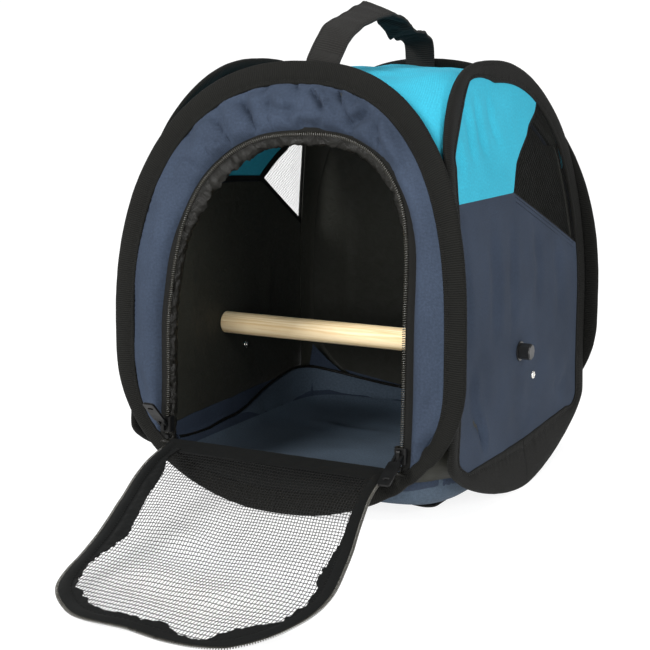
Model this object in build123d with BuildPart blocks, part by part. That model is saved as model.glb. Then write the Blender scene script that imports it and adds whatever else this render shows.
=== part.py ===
from build123d import *
import math
import os

os.makedirs("parts", exist_ok=True)

# ---------------------------------------------------------------- driving dimensions (mm)
HEIGHT = 306.0            # top of the hoops above the surface the carrier stands on
FRONT_Y = 135.0           # front and back panel planes
SIDE_X = 124.4            # left and right panel planes
FRONT_HALF = 136.0        # half width of the front and back hoops
SIDE_HALF = 140.0         # half depth of the side hoops before they meet the front and back bands
BAND = 16.0               # width of the ribbed binding round each hoop
BAND_T = 2.2              # half thickness of the binding
STRIP_IN, STRIP_W, STRIP_T = 2.5, 2.0, 1.5     # spring-steel strip: inset, width, half thickness
FLAT = 0.5                # depth pressed flat where a binding stands on the ground
PANEL_T = 0.6             # half thickness of an outer fabric panel
LINING = (-1.9, -0.9)     # black lining, measured along the outward normal

# front and back hoops: straight from z1 to z2, super-elliptic above and below, tops leaning in
FZ1, FZ2, FTOP, FBOT, FLEAN, FKICK = 101.0, 120.0, 2.38, 2.03, 31.0, 10.0
# side hoops
SZ1, SZ2, STOP, SBOT, SLEAN, SKICK = 52.0, 122.0, 2.59, 1.75, 31.0, 3.5

# door opening in the front panel
ARCH_HALF, ARCH_SPRING, ARCH_TOP, ARCH_POW = 92.0, 140.0, 258.0, 2.2
SILL_Z = 38.0             # top of the sill strip under the opening
TAPE_OUT = 8.0            # zip tape seen beyond the teeth
TEETH_IN, TEETH_OUT, TEETH_T = 1.6, 1.2, 1.2

# door panel, lying open in front
HINGE_Y, HINGE_Z = -141.5, 38.5
DOOR_SLOPE = 9.2          # degrees below level, hinge to tip
DOOR_GAP = 5.2            # door edge inside the teeth line, so that the sliders clear it
DOOR_SHIFT = 42.0         # how far the soft door lies off to the right when it is open
DOOR_SLACK = 14.0         # spare length of the soft door, which draws back to the hinge as it closes
DOOR_RISE = 1.5           # the panel lies on the hem, with this between their middles
DOOR_T = 0.6
DOOR_BORDER = 15.0
HEM_LEN = 16.0

# perch and its fastenings
PERCH_D, PERCH_Y, PERCH_Z = 17.0, -9.0, 101.0
STUD_R = 2.45
KNOB_R, KNOB_L = 6.0, 8.2
EYELET_Y, EYELET_Z, EYELET_R = 20.0, 78.0, 1.6

# handle: flat webbing between the front and back hoops
STRAP_W, STRAP_T = 24.0, 1.0
STRAP_TURN = 6.3          # degrees, the strap runs slightly askew in plan
STRAP_X = 3.5

# seams of a side panel, as (y, z)
SEAM_Y, SEAM_Z = -8.0, 214.0


# ---------------------------------------------------------------- shared shapes
def lean_front(z):
    """Distance of the front surface from the middle plane at height z."""
    s = max(0.0, (z - FZ2) / (HEIGHT - FZ2))
    b = max(0.0, (FZ1 - z) / FZ1)
    return FRONT_Y - FLEAN * s * s + FKICK * b * b


def lean_side(z):
    """Distance of the side surface from the middle plane at height z."""
    s = max(0.0, (z - SZ2) / (HEIGHT - SZ2))
    b = max(0.0, (SZ1 - z) / SZ1)
    return SIDE_X - SLEAN * s * s + SKICK * b * b


def softmin(a, b, k=0.45):
    m = min(a, b)
    return m - math.log(math.exp(-k * (a - m)) + math.exp(-k * (b - m))) / k


def hoop_outline(kind, inset, count=48):
    """Closed outline of a hoop, inset from its outer edge, as (across, up) points."""
    if kind == "front":
        half, z1, z2, top, bot = FRONT_HALF, FZ1, FZ2, FTOP, FBOT + 0.023 * inset
    else:
        half, z1, z2, top, bot = SIDE_HALF, SZ1, SZ2, STOP, SBOT + (0.02 * inset if inset > 6 else 0.05)
    half -= inset
    high, low = HEIGHT - inset, inset - FLAT
    dense = []
    for i in range(201):
        t = math.pi / 2 * i / 200
        dense.append((half * math.sin(t) ** (2 / top), z2 + (high - z2) * math.cos(t) ** (2 / top)))
    for i in range(1, 20):
        dense.append((half, z2 + (z1 - z2) * i / 20))
    for i in range(201):
        t = math.pi / 2 * i / 200
        dense.append((half * math.cos(t) ** (2 / bot), z1 - (z1 - low) * math.sin(t) ** (2 / bot)))
    if kind == "side":
        dense = [(max(0.0, softmin(u, lean_front(z) - BAND_T - 1.0 - inset)) if u > 30 else u, z) for u, z in dense]
    length = [0.0]
    for a, b in zip(dense, dense[1:]):
        length.append(length[-1] + math.dist(a, b))
    right = []
    n = count // 2
    j = 0
    for i in range(n + 1):
        target = length[-1] * i / n
        while j < len(length) - 2 and length[j + 1] < target:
            j += 1
        f = (target - length[j]) / max(1e-9, length[j + 1] - length[j])
        right.append((dense[j][0] + f * (dense[j + 1][0] - dense[j][0]), dense[j][1] + f * (dense[j + 1][1] - dense[j][1])))
    right[0] = (0.0, high)
    right[-1] = (0.0, low)
    return right + [(-u, z) for u, z in right[-2:0:-1]]


def arch_points(out, bottom):
    """Open arch of the door opening, out mm outside the teeth line, from lower left to lower right."""
    half, top = ARCH_HALF + out, ARCH_TOP + out
    right = []
    for i in range(11):
        t = math.pi / 2 * i / 10
        right.append((half * math.sin(t) ** (2 / ARCH_POW), ARCH_SPRING + (top - ARCH_SPRING) * math.cos(t) ** (2 / ARCH_POW)))
    left = [(-x, z) for x, z in right[::-1]]
    return left + right[1:]


def arch_sketch(out, bottom):
    pts = arch_points(out, bottom)
    with BuildSketch() as sk:
        with BuildLine():
            Polyline((pts[0][0], bottom), *pts, (pts[-1][0], bottom), close=True)
        make_face()
    return sk.sketch


def hoop_sketch(kind, inset):
    with BuildSketch() as sk:
        with BuildLine():
            Polyline(*hoop_outline(kind, inset), close=True)
        make_face()
    return sk.sketch


def lean_slab(kind, low, high):
    """Solid between two copies of the leaning surface, low to high along its outward normal."""
    lean = lean_front if kind == "front" else lean_side
    zs = [-12.0, 22.0, 52.0, 120.0, 170.0, 210.0, 245.0, 275.0, 325.0]
    inner = [(lean(z) + low, z) for z in zs]
    outer = [(lean(z) + high, z) for z in zs]
    plane = Plane.YZ.offset(-170) if kind == "front" else Plane.XZ.offset(-170)
    with BuildPart() as slab:
        with BuildSketch(plane):
            with BuildLine():
                Polyline(*inner, *outer[::-1], close=True)
            make_face()
        extrude(amount=340)
    return slab.part


def wall(kind, region, low, high, side=-1):
    """A panel: region, drawn as (across, up), cut to the slab between low and high. side is -1 for front, +1 for back; +1 right, -1 left."""
    with BuildPart() as made:
        if kind == "front":
            with BuildSketch(Plane.XZ.offset(-60)):
                add(region)
            extrude(amount=-120)
        else:
            with BuildSketch(Plane.YZ.offset(60)):
                add(region)
            extrude(amount=120)
        add(lean_slab(kind, low, high), mode=Mode.INTERSECT)
    part = made.part
    if kind == "front" and side < 0:
        part = mirror(part, about=Plane.XZ)
    if kind == "side" and side < 0:
        part = mirror(part, about=Plane.YZ)
    return part


def save(part, name):
    part.label = name
    export_step(part, f"parts/{name}.step")


# ---------------------------------------------------------------- hoops and their bindings
front_outer, front_inner = hoop_sketch("front", 0), hoop_sketch("front", BAND)
side_outer, side_inner = hoop_sketch("side", 0), hoop_sketch("side", BAND)
strip_front = hoop_sketch("front", STRIP_IN) - hoop_sketch("front", STRIP_IN + STRIP_W)
strip_side = hoop_sketch("side", STRIP_IN) - hoop_sketch("side", STRIP_IN + STRIP_W)
pocket_front = hoop_sketch("front", STRIP_IN - 0.3) - hoop_sketch("front", STRIP_IN + STRIP_W + 0.3)
pocket_side = hoop_sketch("side", STRIP_IN - 0.3) - hoop_sketch("side", STRIP_IN + STRIP_W + 0.3)

for name, kind, side, ring, strip, pocket in (
    ("front", "front", -1, front_outer - front_inner, strip_front, pocket_front),
    ("back", "front", 1, front_outer - front_inner, strip_front, pocket_front),
    ("left", "side", -1, side_outer - side_inner, strip_side, pocket_side),
    ("right", "side", 1, side_outer - side_inner, strip_side, pocket_side),
):
    band = wall(kind, ring, -BAND_T, BAND_T, side)
    hollow = wall(kind, pocket, -STRIP_T - 0.2, STRIP_T + 0.2, side)
    with BuildPart() as binding:
        add(band)
        add(hollow, mode=Mode.SUBTRACT)
        # the binding's lowest edge is pressed flat where the carrier stands on it
        with Locations((0, 0, -10)):
            Box(400, 400, 20, mode=Mode.SUBTRACT)
    save(binding.part, f"{name}_binding")
    save(wall(kind, strip, -STRIP_T, STRIP_T, side), f"{name}_hoop")


# ---------------------------------------------------------------- front panel, lining, sill and zip
inside_front = hoop_sketch("front", BAND)
inside_side = hoop_sketch("side", BAND)
lining_front = hoop_sketch("front", BAND + 1.5)
lining_side = hoop_sketch("side", BAND + 1.5)


def half_plane(x0, x1, y0, y1):
    with BuildSketch() as sk:
        with BuildLine():
            Polyline((x0, y0), (x1, y0), (x1, y1), (x0, y1), close=True)
        make_face()
    return sk.sketch


def outline(*pts):
    with BuildSketch() as sk:
        with BuildLine():
            Polyline(*pts, close=True)
        make_face()
    return sk.sketch


above_sill = half_plane(-200, 200, SILL_Z, 400)
below_sill = half_plane(-200, 200, -50, SILL_Z)
tape_edge = arch_sketch(TAPE_OUT, -30)
save(wall("front", (inside_front & above_sill) - tape_edge, -0.9, 0.9, -1), "front_panel")
save(wall("front", inside_front & below_sill, -0.9, 0.9, -1), "sill_strip")
save(wall("front", (lining_front & half_plane(-200, 200, SILL_Z + 0.5, 400)) - arch_sketch(5.5, -30), -1.9, -1.1, -1), "front_lining")
zip_zone = half_plane(-200, 200, 43.0, 400) & inside_front
save(wall("front", (tape_edge - arch_sketch(TEETH_OUT, -30)) & zip_zone, -0.4, 0.4, -1), "opening_zip_tape")
save(wall("front", (arch_sketch(TEETH_OUT, -30) - arch_sketch(-TEETH_IN, -30)) & zip_zone, -TEETH_T, TEETH_T, -1), "opening_zip_teeth")

# ---------------------------------------------------------------- back panel
save(wall("front", inside_front, -PANEL_T, PANEL_T, 1), "back_panel")
save(wall("front", lining_front & half_plane(-200, 200, 24, 400), LINING[0], LINING[1], 1), "back_lining")

# ---------------------------------------------------------------- side panels
# navy below the seam, turquoise above it at the front, a mesh window above it at the back
lower = outline((-170, -20), (170, -20), (170, 143.0), (SEAM_Y, SEAM_Z), (-170, SEAM_Z + 1.5))
upper = outline((-170, SEAM_Z + 1.5), (SEAM_Y, SEAM_Z), (0, 226), (6, 234), (18, 242), (36, 252), (44, 259), (63, 268), (100, 300), (100, 340), (-170, 340))
window = outline((170, 143.0), (SEAM_Y, SEAM_Z), (0, 226), (6, 234), (18, 242), (36, 252), (44, 259), (63, 268), (100, 300), (170, 300))
for name, side in (("left", -1), ("right", 1)):
    low_panel = wall("side", inside_side & lower, -PANEL_T, PANEL_T, side)
    low_lining = wall("side", lining_side & outline((-170, 20), (170, 34), (170, 141.0), (SEAM_Y, SEAM_Z - 2), (-170, SEAM_Z - 0.5)), LINING[0], LINING[1], side)
    for part, part_name in ((low_panel, f"{name}_lower_panel"), (low_lining, f"{name}_lining")):
        with BuildPart() as pierced:
            add(part)
            with BuildSketch(Plane.YZ.offset(side * SIDE_X - 10)):
                with Locations((PERCH_Y, PERCH_Z)):
                    Circle(3.0)
                with Locations((EYELET_Y, EYELET_Z)):
                    Circle(2.8)
            extrude(amount=20, mode=Mode.SUBTRACT)
        save(pierced.part, part_name)
    save(wall("side", inside_side & upper, -PANEL_T, PANEL_T, side), f"{name}_upper_panel")
    save(wall("side", inside_side & window, -0.4, 0.4, side), f"{name}_window_mesh")

# ---------------------------------------------------------------- base and roof, dished fabric between the hoops
def rounded(plane, x, y, r):
    with BuildSketch(plane) as sk:
        RectangleRounded(2 * x, 2 * y, r)
    return sk.sketch


def dish(sections, thick):
    """Fabric dish lofted through (z, half x, half y, corner radius), thick on the inside."""
    with BuildPart() as made:
        with BuildSketch(Plane.XY.offset(sections[0][0])):
            RectangleRounded(2 * sections[0][1], 2 * sections[0][2], sections[0][3])
        for z, x, y, r in sections[1:]:
            with BuildSketch(Plane.XY.offset(z)):
                RectangleRounded(2 * x, 2 * y, r)
        loft(ruled=True)
    up = 1 if sections[-1][0] > sections[0][0] else -1
    with BuildPart() as core:
        for i, (z, x, y, r) in enumerate(sections):
            last = i == len(sections) - 1
            with BuildSketch(Plane.XY.offset(z + (up * 5 if last else up * thick))):
                RectangleRounded(2 * (x - thick), 2 * (y - thick), r - thick)
        loft(ruled=True)
    return made.part - core.part


INSIDE_X, INSIDE_Y = SIDE_X - 2.4, FRONT_Y - 2.6
with BuildPart() as bottom_panel:
    add(dish([(0.0, 56, 66, 40), (9.0, 96, 106, 56), (17.0, 116, 127, 52), (26.0, INSIDE_X - 0.5, INSIDE_Y - 0.5, 44), (96.0, INSIDE_X - 0.5, INSIDE_Y - 0.5, 36)], 1.2))
    with BuildSketch(Plane.XZ.offset(-200)):
        add(hoop_sketch("front", BAND + 4))
    extrude(amount=400, mode=Mode.SUBTRACT)
    with BuildSketch(Plane.YZ.offset(-200)):
        add(hoop_sketch("side", BAND + 4))
    extrude(amount=400, mode=Mode.SUBTRACT)
save(bottom_panel.part, "bottom_panel")

with BuildPart() as floor_pad:
    with BuildSketch(Plane.XY.offset(10.6)):
        RectangleRounded(2 * 92, 2 * 102, 52)
    extrude(amount=2.6)
save(floor_pad.part, "floor_pad")


def roof_grid(n=8):
    """Points of the roof's surface: its four sides follow the hoops, and it sags between them like a stretched sheet."""
    corner = (109.0, 117.5, 222.0)
    def side_curve(kind):
        pts = []
        src = hoop_outline(kind, BAND - 3, 240)
        half = [p for p in src if p[1] > corner[2] - 1 and abs(p[0]) < (corner[0] if kind == "front" else corner[1])]
        half = sorted(half)
        length = [0.0]
        for a, b in zip(half, half[1:]):
            length.append(length[-1] + math.dist(a, b))
        for i in range(n + 1):
            target = length[-1] * i / n
            j = max(k for k in range(len(length)) if length[k] <= target + 1e-9)
            if j == len(length) - 1:
                u, z = half[-1]
            else:
                f = (target - length[j]) / (length[j + 1] - length[j])
                u = half[j][0] + f * (half[j + 1][0] - half[j][0])
                z = half[j][1] + f * (half[j + 1][1] - half[j][1])
            pts.append((u, z))
        return pts
    front, side = side_curve("front"), side_curve("side")
    grid = [[None] * (n + 1) for _ in range(n + 1)]
    def ease(i):
        d = abs(2 * i / n - 1)
        return d ** 6
    for i in range(n + 1):
        w = ease(i)
        u, z = front[i]
        y = lean_front(z) - 3.4
        sx = 1 if u > 0 else -1
        x_, y_, z_ = (1 - w) * u + w * sx * corner[0], (1 - w) * y + w * corner[1], (1 - w) * z + w * corner[2]
        grid[i][0], grid[i][n] = [x_, -y_, z_], [x_, y_, z_]
        v, z = side[i]
        x = lean_side(z) - 3.4
        sy = 1 if v > 0 else -1
        y_, x_, z_ = (1 - w) * v + w * sy * corner[1], (1 - w) * x + w * corner[0], (1 - w) * z + w * corner[2]
        grid[0][i], grid[n][i] = [-x_, y_, z_], [x_, y_, z_]
    for sx, i in ((-1, 0), (1, n)):
        for sy, j in ((-1, 0), (1, n)):
            grid[i][j] = [sx * corner[0], sy * corner[1], corner[2]]
    for i in range(1, n):
        for j in range(1, n):
            s, t = i / n, j / n
            grid[i][j] = [
                (1 - s) * grid[0][j][k] + s * grid[n][j][k] + (1 - t) * grid[i][0][k] + t * grid[i][n][k]
                - ((1 - s) * (1 - t) * grid[0][0][k] + s * (1 - t) * grid[n][0][k] + (1 - s) * t * grid[0][n][k] + s * t * grid[n][n][k])
                for k in range(3)
            ]
    for _ in range(400):
        for i in range(1, n):
            for j in range(1, n):
                grid[i][j][2] = 0.25 * (grid[i - 1][j][2] + grid[i + 1][j][2] + grid[i][j - 1][2] + grid[i][j + 1][2])
    return [[Vector(*p) for p in row] for row in grid]


def grid_solid(grid, thick):
    """Closed solid between a grid of points and the same grid dropped by thick."""
    n, m = len(grid), len(grid[0])
    low = [[p - Vector(0, 0, thick) for p in row] for row in grid]
    faces = []
    def tri(a, b, c):
        faces.append(Face(Wire.make_polygon([a, b, c], close=True)))
    for i in range(n - 1):
        for j in range(m - 1):
            a, b, c, d = grid[i][j], grid[i + 1][j], grid[i + 1][j + 1], grid[i][j + 1]
            e, f, g, h = low[i][j], low[i + 1][j], low[i + 1][j + 1], low[i][j + 1]
            tri(a, b, c)
            tri(a, c, d)
            tri(e, g, f)
            tri(e, h, g)
    rim = [(i, 0) for i in range(n)] + [(n - 1, j) for j in range(1, m)] + [(i, m - 1) for i in range(n - 2, -1, -1)] + [(0, j) for j in range(m - 2, 0, -1)]
    for (i, j), (k, l) in zip(rim, rim[1:] + rim[:1]):
        tri(grid[i][j], low[i][j], low[k][l])
        tri(grid[i][j], low[k][l], grid[k][l])
    return Solid(Shell(faces))


with BuildPart() as roof_panel:
    add(grid_solid(roof_grid(8), 1.2))
save(roof_panel.part, "roof_panel")

# ---------------------------------------------------------------- door panel, lying open in front of the opening
tip = math.radians(DOOR_SLOPE)
# local x is the carrier's X, local y runs from the hinge out along the door
door_plane = Plane(origin=(0, HINGE_Y, HINGE_Z), x_dir=(-1, 0, 0), z_dir=(0, -math.sin(tip), math.cos(tip)))


def door_sketch(inside, start, shift):
    """Arch of the door, inside mm within its outer edge, from start mm out to the tip."""
    pts = [(x, z - HINGE_Z + DOOR_SLACK) for x, z in arch_points(-DOOR_GAP - inside, 0)]
    with BuildSketch() as sk:
        with BuildLine():
            Polyline((pts[0][0] - shift, start), *[(x - shift, y) for x, y in pts], (pts[-1][0] - shift, start), close=True)
        make_face()
    return sk.sketch - outline((-DOOR_SHIFT - 100, 0), (-DOOR_SHIFT - 44.5, 0), (-DOOR_SHIFT - 44.5, 31), (-DOOR_SHIFT - 100, 31))


def door_sheet(region, low, high):
    with BuildPart() as made:
        with BuildSketch(door_plane.offset(low)):
            add(region)
        extrude(amount=high - low)
    return made.part


hem_half = ARCH_HALF - DOOR_GAP - 2.0
save(door_sheet(half_plane(-hem_half, hem_half, 0.6, HEM_LEN), -DOOR_T, DOOR_T), "door_hem")
start = HEM_LEN + 0.6
outer_edge = door_sketch(1.6, start, DOOR_SHIFT)
inner_edge = door_sketch(DOOR_BORDER, start + 10, DOOR_SHIFT)
save(door_sheet(outer_edge - inner_edge, DOOR_RISE - DOOR_T, DOOR_RISE + DOOR_T), "door_border")
save(door_sheet(inner_edge, DOOR_RISE - 0.4, DOOR_RISE + 0.4), "door_mesh")
# the teeth stand clear of the hem that they pass over as the door skews
save(door_sheet((door_sketch(0, start, DOOR_SHIFT) - outer_edge), DOOR_T + 0.4, DOOR_RISE + TEETH_T), "door_zip_teeth")

# ---------------------------------------------------------------- zip sliders, pulls and end stops
slide_low, slide_high = Vector(0, -lean_front(50.5), 50.5), Vector(0, -lean_front(128), 128)
slide_dir = (slide_high - slide_low).normalized()
for name, side in (("left", -1), ("right", 1)):
    base = Plane(origin=(side * ARCH_HALF, slide_low.Y, slide_low.Z), x_dir=(side, 0, 0), z_dir=tuple(slide_dir))
    with BuildPart() as slider:
        with BuildSketch(base.offset(-5.5)):
            with Locations((0.05, 0)):
                RectangleRounded(8.9, 6.6, 1.6)
        extrude(amount=11)
        with BuildSketch(base.offset(-8)):
            with Locations((0.1, 0)):
                Rectangle(5.4, 4.6)
            with Locations((5.0, 0)):
                Rectangle(8.0, 2.6)
        extrude(amount=16, mode=Mode.SUBTRACT)
        # crown loop on the outer face, which the pull hangs from
        with BuildSketch(Plane(origin=base.origin, x_dir=tuple(slide_dir), z_dir=(1, 0, 0)).offset(-1.1)):
            with Locations((0, 4.6)):
                SlotOverall(9.0, 3.4)
            with Locations((0, 4.9)):
                Circle(1.0, mode=Mode.SUBTRACT)
        extrude(amount=2.2)
    save(slider.part, f"zip_slider_{name}")

PULL_LEN, PULL_W, PULL_T = 27.0, 9.0, 1.6
outward = slide_dir.cross(Vector(1, 0, 0)) * -1
outward = Vector(0, -abs(slide_dir.Z), abs(slide_dir.Y))
for name, side, rise in (("left", -1, 45.0), ("right", 1, -30.0)):
    pin = Vector(side * ARCH_HALF, slide_low.Y, slide_low.Z) + outward * 4.9
    r = math.radians(rise)
    along = Vector(0, -math.cos(r), math.sin(r))
    # local x along the pull, local y across it
    flat = Plane(origin=tuple(pin), x_dir=tuple(along), z_dir=tuple(along.cross(Vector(1, 0, 0))))
    with BuildPart() as pull:
        with BuildSketch(flat.offset(-PULL_T / 2)):
            with Locations((0.5 * (PULL_LEN + 5.6), 0)):
                RectangleRounded(PULL_LEN - 5.6, PULL_W, 1.8)
            with Locations((PULL_LEN - 5.5, 0)):
                SlotOverall(4.6, 2.2, rotation=90, mode=Mode.SUBTRACT)
        extrude(amount=PULL_T)
        with BuildSketch(flat.offset(-0.85)):
            with Locations((3.0, 2.35), (3.0, -2.35)):
                Rectangle(8.0, 1.7)
        extrude(amount=1.7)
        with BuildSketch(Plane(origin=tuple(pin), z_dir=(1, 0, 0)).offset(-3.2)):
            Circle(0.85)
        extrude(amount=6.4)
    save(pull.part, f"zip_pull_{name}")

with BuildPart() as zip_end_stops:
    for side in (-1, 1):
        with BuildSketch(Plane(origin=(side * (ARCH_HALF - 0.8), -lean_front(41.4), 41.4), x_dir=(1, 0, 0), z_dir=(0, 0, 1)).offset(-1.3)):
            RectangleRounded(3.2, 3.2, 0.8)
        extrude(amount=2.6)
save(zip_end_stops.part, "zip_end_stops")

# ---------------------------------------------------------------- perch, its studs, washers and knobs, and the spare eyelets
PERCH_END = SIDE_X - PANEL_T - 2.2
with BuildPart() as perch:
    with BuildSketch(Plane.YZ.offset(-PERCH_END)):
        with Locations((PERCH_Y, PERCH_Z)):
            Circle(PERCH_D / 2)
    extrude(amount=2 * PERCH_END)
    chamfer(perch.faces().filter_by(Axis.X).edges(), 1.2)
    for side in (-1, 1):
        with BuildSketch(Plane(origin=(side * (PERCH_END - 16), PERCH_Y, PERCH_Z), z_dir=(side, 0, 0))):
            Circle(STUD_R)
        extrude(amount=20, mode=Mode.SUBTRACT)
save(perch.part, "perch")

stud_tip = SIDE_X + PANEL_T + 7.6
with BuildPart() as perch_studs:
    for side in (-1, 1):
        with BuildSketch(Plane(origin=(side * (PERCH_END - 16), PERCH_Y, PERCH_Z), z_dir=(side, 0, 0))):
            Circle(STUD_R)
        extrude(amount=stud_tip - PERCH_END + 16)
save(perch_studs.part, "perch_studs")

with BuildPart() as perch_washers:
    for side in (-1, 1):
        for x0 in (PERCH_END + 0.05, SIDE_X + PANEL_T + 0.05):
            with BuildSketch(Plane(origin=(side * x0, PERCH_Y, PERCH_Z), z_dir=(side, 0, 0))):
                Circle(7.0)
                Circle(STUD_R + 0.2, mode=Mode.SUBTRACT)
            extrude(amount=0.8 if x0 > SIDE_X else 0.2)
save(perch_washers.part, "perch_washers")

knob_base = SIDE_X + PANEL_T + 1.1
for name, side in (("left", -1), ("right", 1)):
    with BuildPart() as knob:
        with BuildSketch(Plane(origin=(side * knob_base, PERCH_Y, PERCH_Z), z_dir=(side, 0, 0))):
            RegularPolygon(KNOB_R, 8)
        extrude(amount=KNOB_L)
        chamfer(knob.faces().sort_by(Axis.X)[-1 if side > 0 else 0].edges(), 0.8)
        with BuildSketch(Plane(origin=(side * knob_base, PERCH_Y, PERCH_Z), z_dir=(side, 0, 0))):
            Circle(STUD_R + 0.05)
        extrude(amount=KNOB_L - 1.4, mode=Mode.SUBTRACT)
    save(knob.part, f"perch_knob_{name}")

with BuildPart() as spare_eyelets:
    for side in (-1, 1):
        for x0, x1, r in ((SIDE_X - 2.2, SIDE_X + 1.0, 2.6), (SIDE_X + PANEL_T + 0.05, SIDE_X + 1.2, 3.6), (SIDE_X - 2.5, SIDE_X - 1.95, 3.6)):
            with BuildSketch(Plane(origin=(side * x0, EYELET_Y, EYELET_Z), z_dir=(side, 0, 0))):
                Circle(r)
            extrude(amount=x1 - x0)
    with BuildSketch(Plane.YZ.offset(-200)):
        with Locations((EYELET_Y, EYELET_Z)):
            Circle(EYELET_R)
    extrude(amount=400, mode=Mode.SUBTRACT)
save(spare_eyelets.part, "spare_eyelets")

# ---------------------------------------------------------------- handle and the elastic loop under the base
turn = math.radians(STRAP_TURN)
# local x runs front to back along the strap, local y is up
strap_plane = Plane(origin=(STRAP_X, 0, 0), x_dir=(-math.sin(turn), math.cos(turn), 0), z_dir=(math.cos(turn), math.sin(turn), 0))
strap_line = [(-101.6, 294.6), (-99.6, 300), (-97.2, 307), (-92.5, 318), (-84, 327), (-69, 334.5), (-52, 340), (-34, 344), (-14, 346), (6, 344.5), (30, 341), (53, 335.5), (72, 328.5), (87, 320), (95.8, 311), (97.2, 306), (99.4, 300), (101.6, 294.6)]


def strip(points, half):
    """Outline of a thin strip, half thick each side of a line of points."""
    left, right = [], []
    for i, (x, y) in enumerate(points):
        a, b = points[max(0, i - 1)], points[min(len(points) - 1, i + 1)]
        dx, dy = b[0] - a[0], b[1] - a[1]
        l = math.hypot(dx, dy)
        left.append((x - dy / l * half, y + dx / l * half))
        right.append((x + dy / l * half, y - dx / l * half))
    return left + right[::-1]


with BuildPart() as handle:
    with BuildSketch(strap_plane.offset(-STRAP_W / 2)):
        with BuildLine():
            Polyline(*strip(strap_line, STRAP_T), close=True)
        make_face()
    extrude(amount=STRAP_W)
save(handle.part, "handle")

loop_line = [(72, 2.5), (79, 1.4), (88, 1.1), (95, 2.4), (99, 5.2), (101, 9.2)]
with BuildPart() as storage_loop:
    with BuildSketch(Plane.XZ.offset(68)):
        with BuildLine():
            Polyline(*strip(loop_line, 0.7), close=True)
        make_face()
    extrude(amount=20)
save(storage_loop.part, "storage_loop")
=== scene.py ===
import bpy, math
import numpy as np
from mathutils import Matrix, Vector, noise
from mathutils.geometry import delaunay_2d_cdt


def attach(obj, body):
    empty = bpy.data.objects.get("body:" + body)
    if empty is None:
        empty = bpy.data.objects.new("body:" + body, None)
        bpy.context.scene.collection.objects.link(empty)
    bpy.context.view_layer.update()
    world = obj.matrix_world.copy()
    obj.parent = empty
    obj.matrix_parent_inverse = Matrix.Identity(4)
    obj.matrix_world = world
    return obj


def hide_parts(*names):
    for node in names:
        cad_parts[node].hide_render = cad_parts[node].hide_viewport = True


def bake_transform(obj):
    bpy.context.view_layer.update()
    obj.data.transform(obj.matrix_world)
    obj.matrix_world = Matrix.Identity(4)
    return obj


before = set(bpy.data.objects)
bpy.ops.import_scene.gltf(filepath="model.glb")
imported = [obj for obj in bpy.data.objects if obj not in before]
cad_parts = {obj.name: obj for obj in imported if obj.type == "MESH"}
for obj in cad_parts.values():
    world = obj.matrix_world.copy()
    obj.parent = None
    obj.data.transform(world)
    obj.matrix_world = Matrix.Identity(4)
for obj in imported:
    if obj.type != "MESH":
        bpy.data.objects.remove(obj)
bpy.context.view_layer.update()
scene = bpy.context.scene
TAU = 2 * math.pi


# ================================================================ camera
def build_camera():
    cam = bpy.data.objects.new("camera", bpy.data.cameras.new("camera"))
    scene.collection.objects.link(cam)
    right = Vector((0.88972, 0.45649, 0.00425))
    up = Vector((-0.08283, 0.15226, 0.98486))
    back = Vector((0.44894, -0.87660, 0.17328))
    m = cam.matrix_world.copy()
    for i in range(3):
        m[i][0], m[i][1], m[i][2] = right[i], up[i], back[i]
    m[0][3], m[1][3], m[2][3] = 0.50588, -1.03389, 0.31907
    cam.matrix_world = m
    cam.data.sensor_width = 36
    cam.data.lens = 1545.26 * 36 / 650
    cam.data.shift_x = -16.16 / 650
    cam.data.shift_y = -11.97 / 650
    cam.data.clip_end = 50
    scene.camera = cam


build_camera()

# ================================================================ shapes shared with the construction, in millimetres
HEIGHT, BAND = 306.0, 16.0
ARCH_HALF, ARCH_SPRING, ARCH_TOP, ARCH_POW = 92.0, 140.0, 258.0, 2.2
SILL_Z = 38.0
HINGE = np.array([0.0, -141.5, 38.5])
SLOPE = math.radians(9.2)
SHIFT, SHIFT_END = 42.0, 190.0


def lean_front(z):
    z = np.asarray(z, float)
    s, b = np.clip((z - 120) / 186, 0, None), np.clip((101 - z) / 101, 0, None)
    return 135 - 31 * s * s + 10 * b * b


def lean_side(z):
    z = np.asarray(z, float)
    s, b = np.clip((z - 122) / 184, 0, None), np.clip((52 - z) / 52, 0, None)
    return 124.4 - 31 * s * s + 3.5 * b * b


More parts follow.
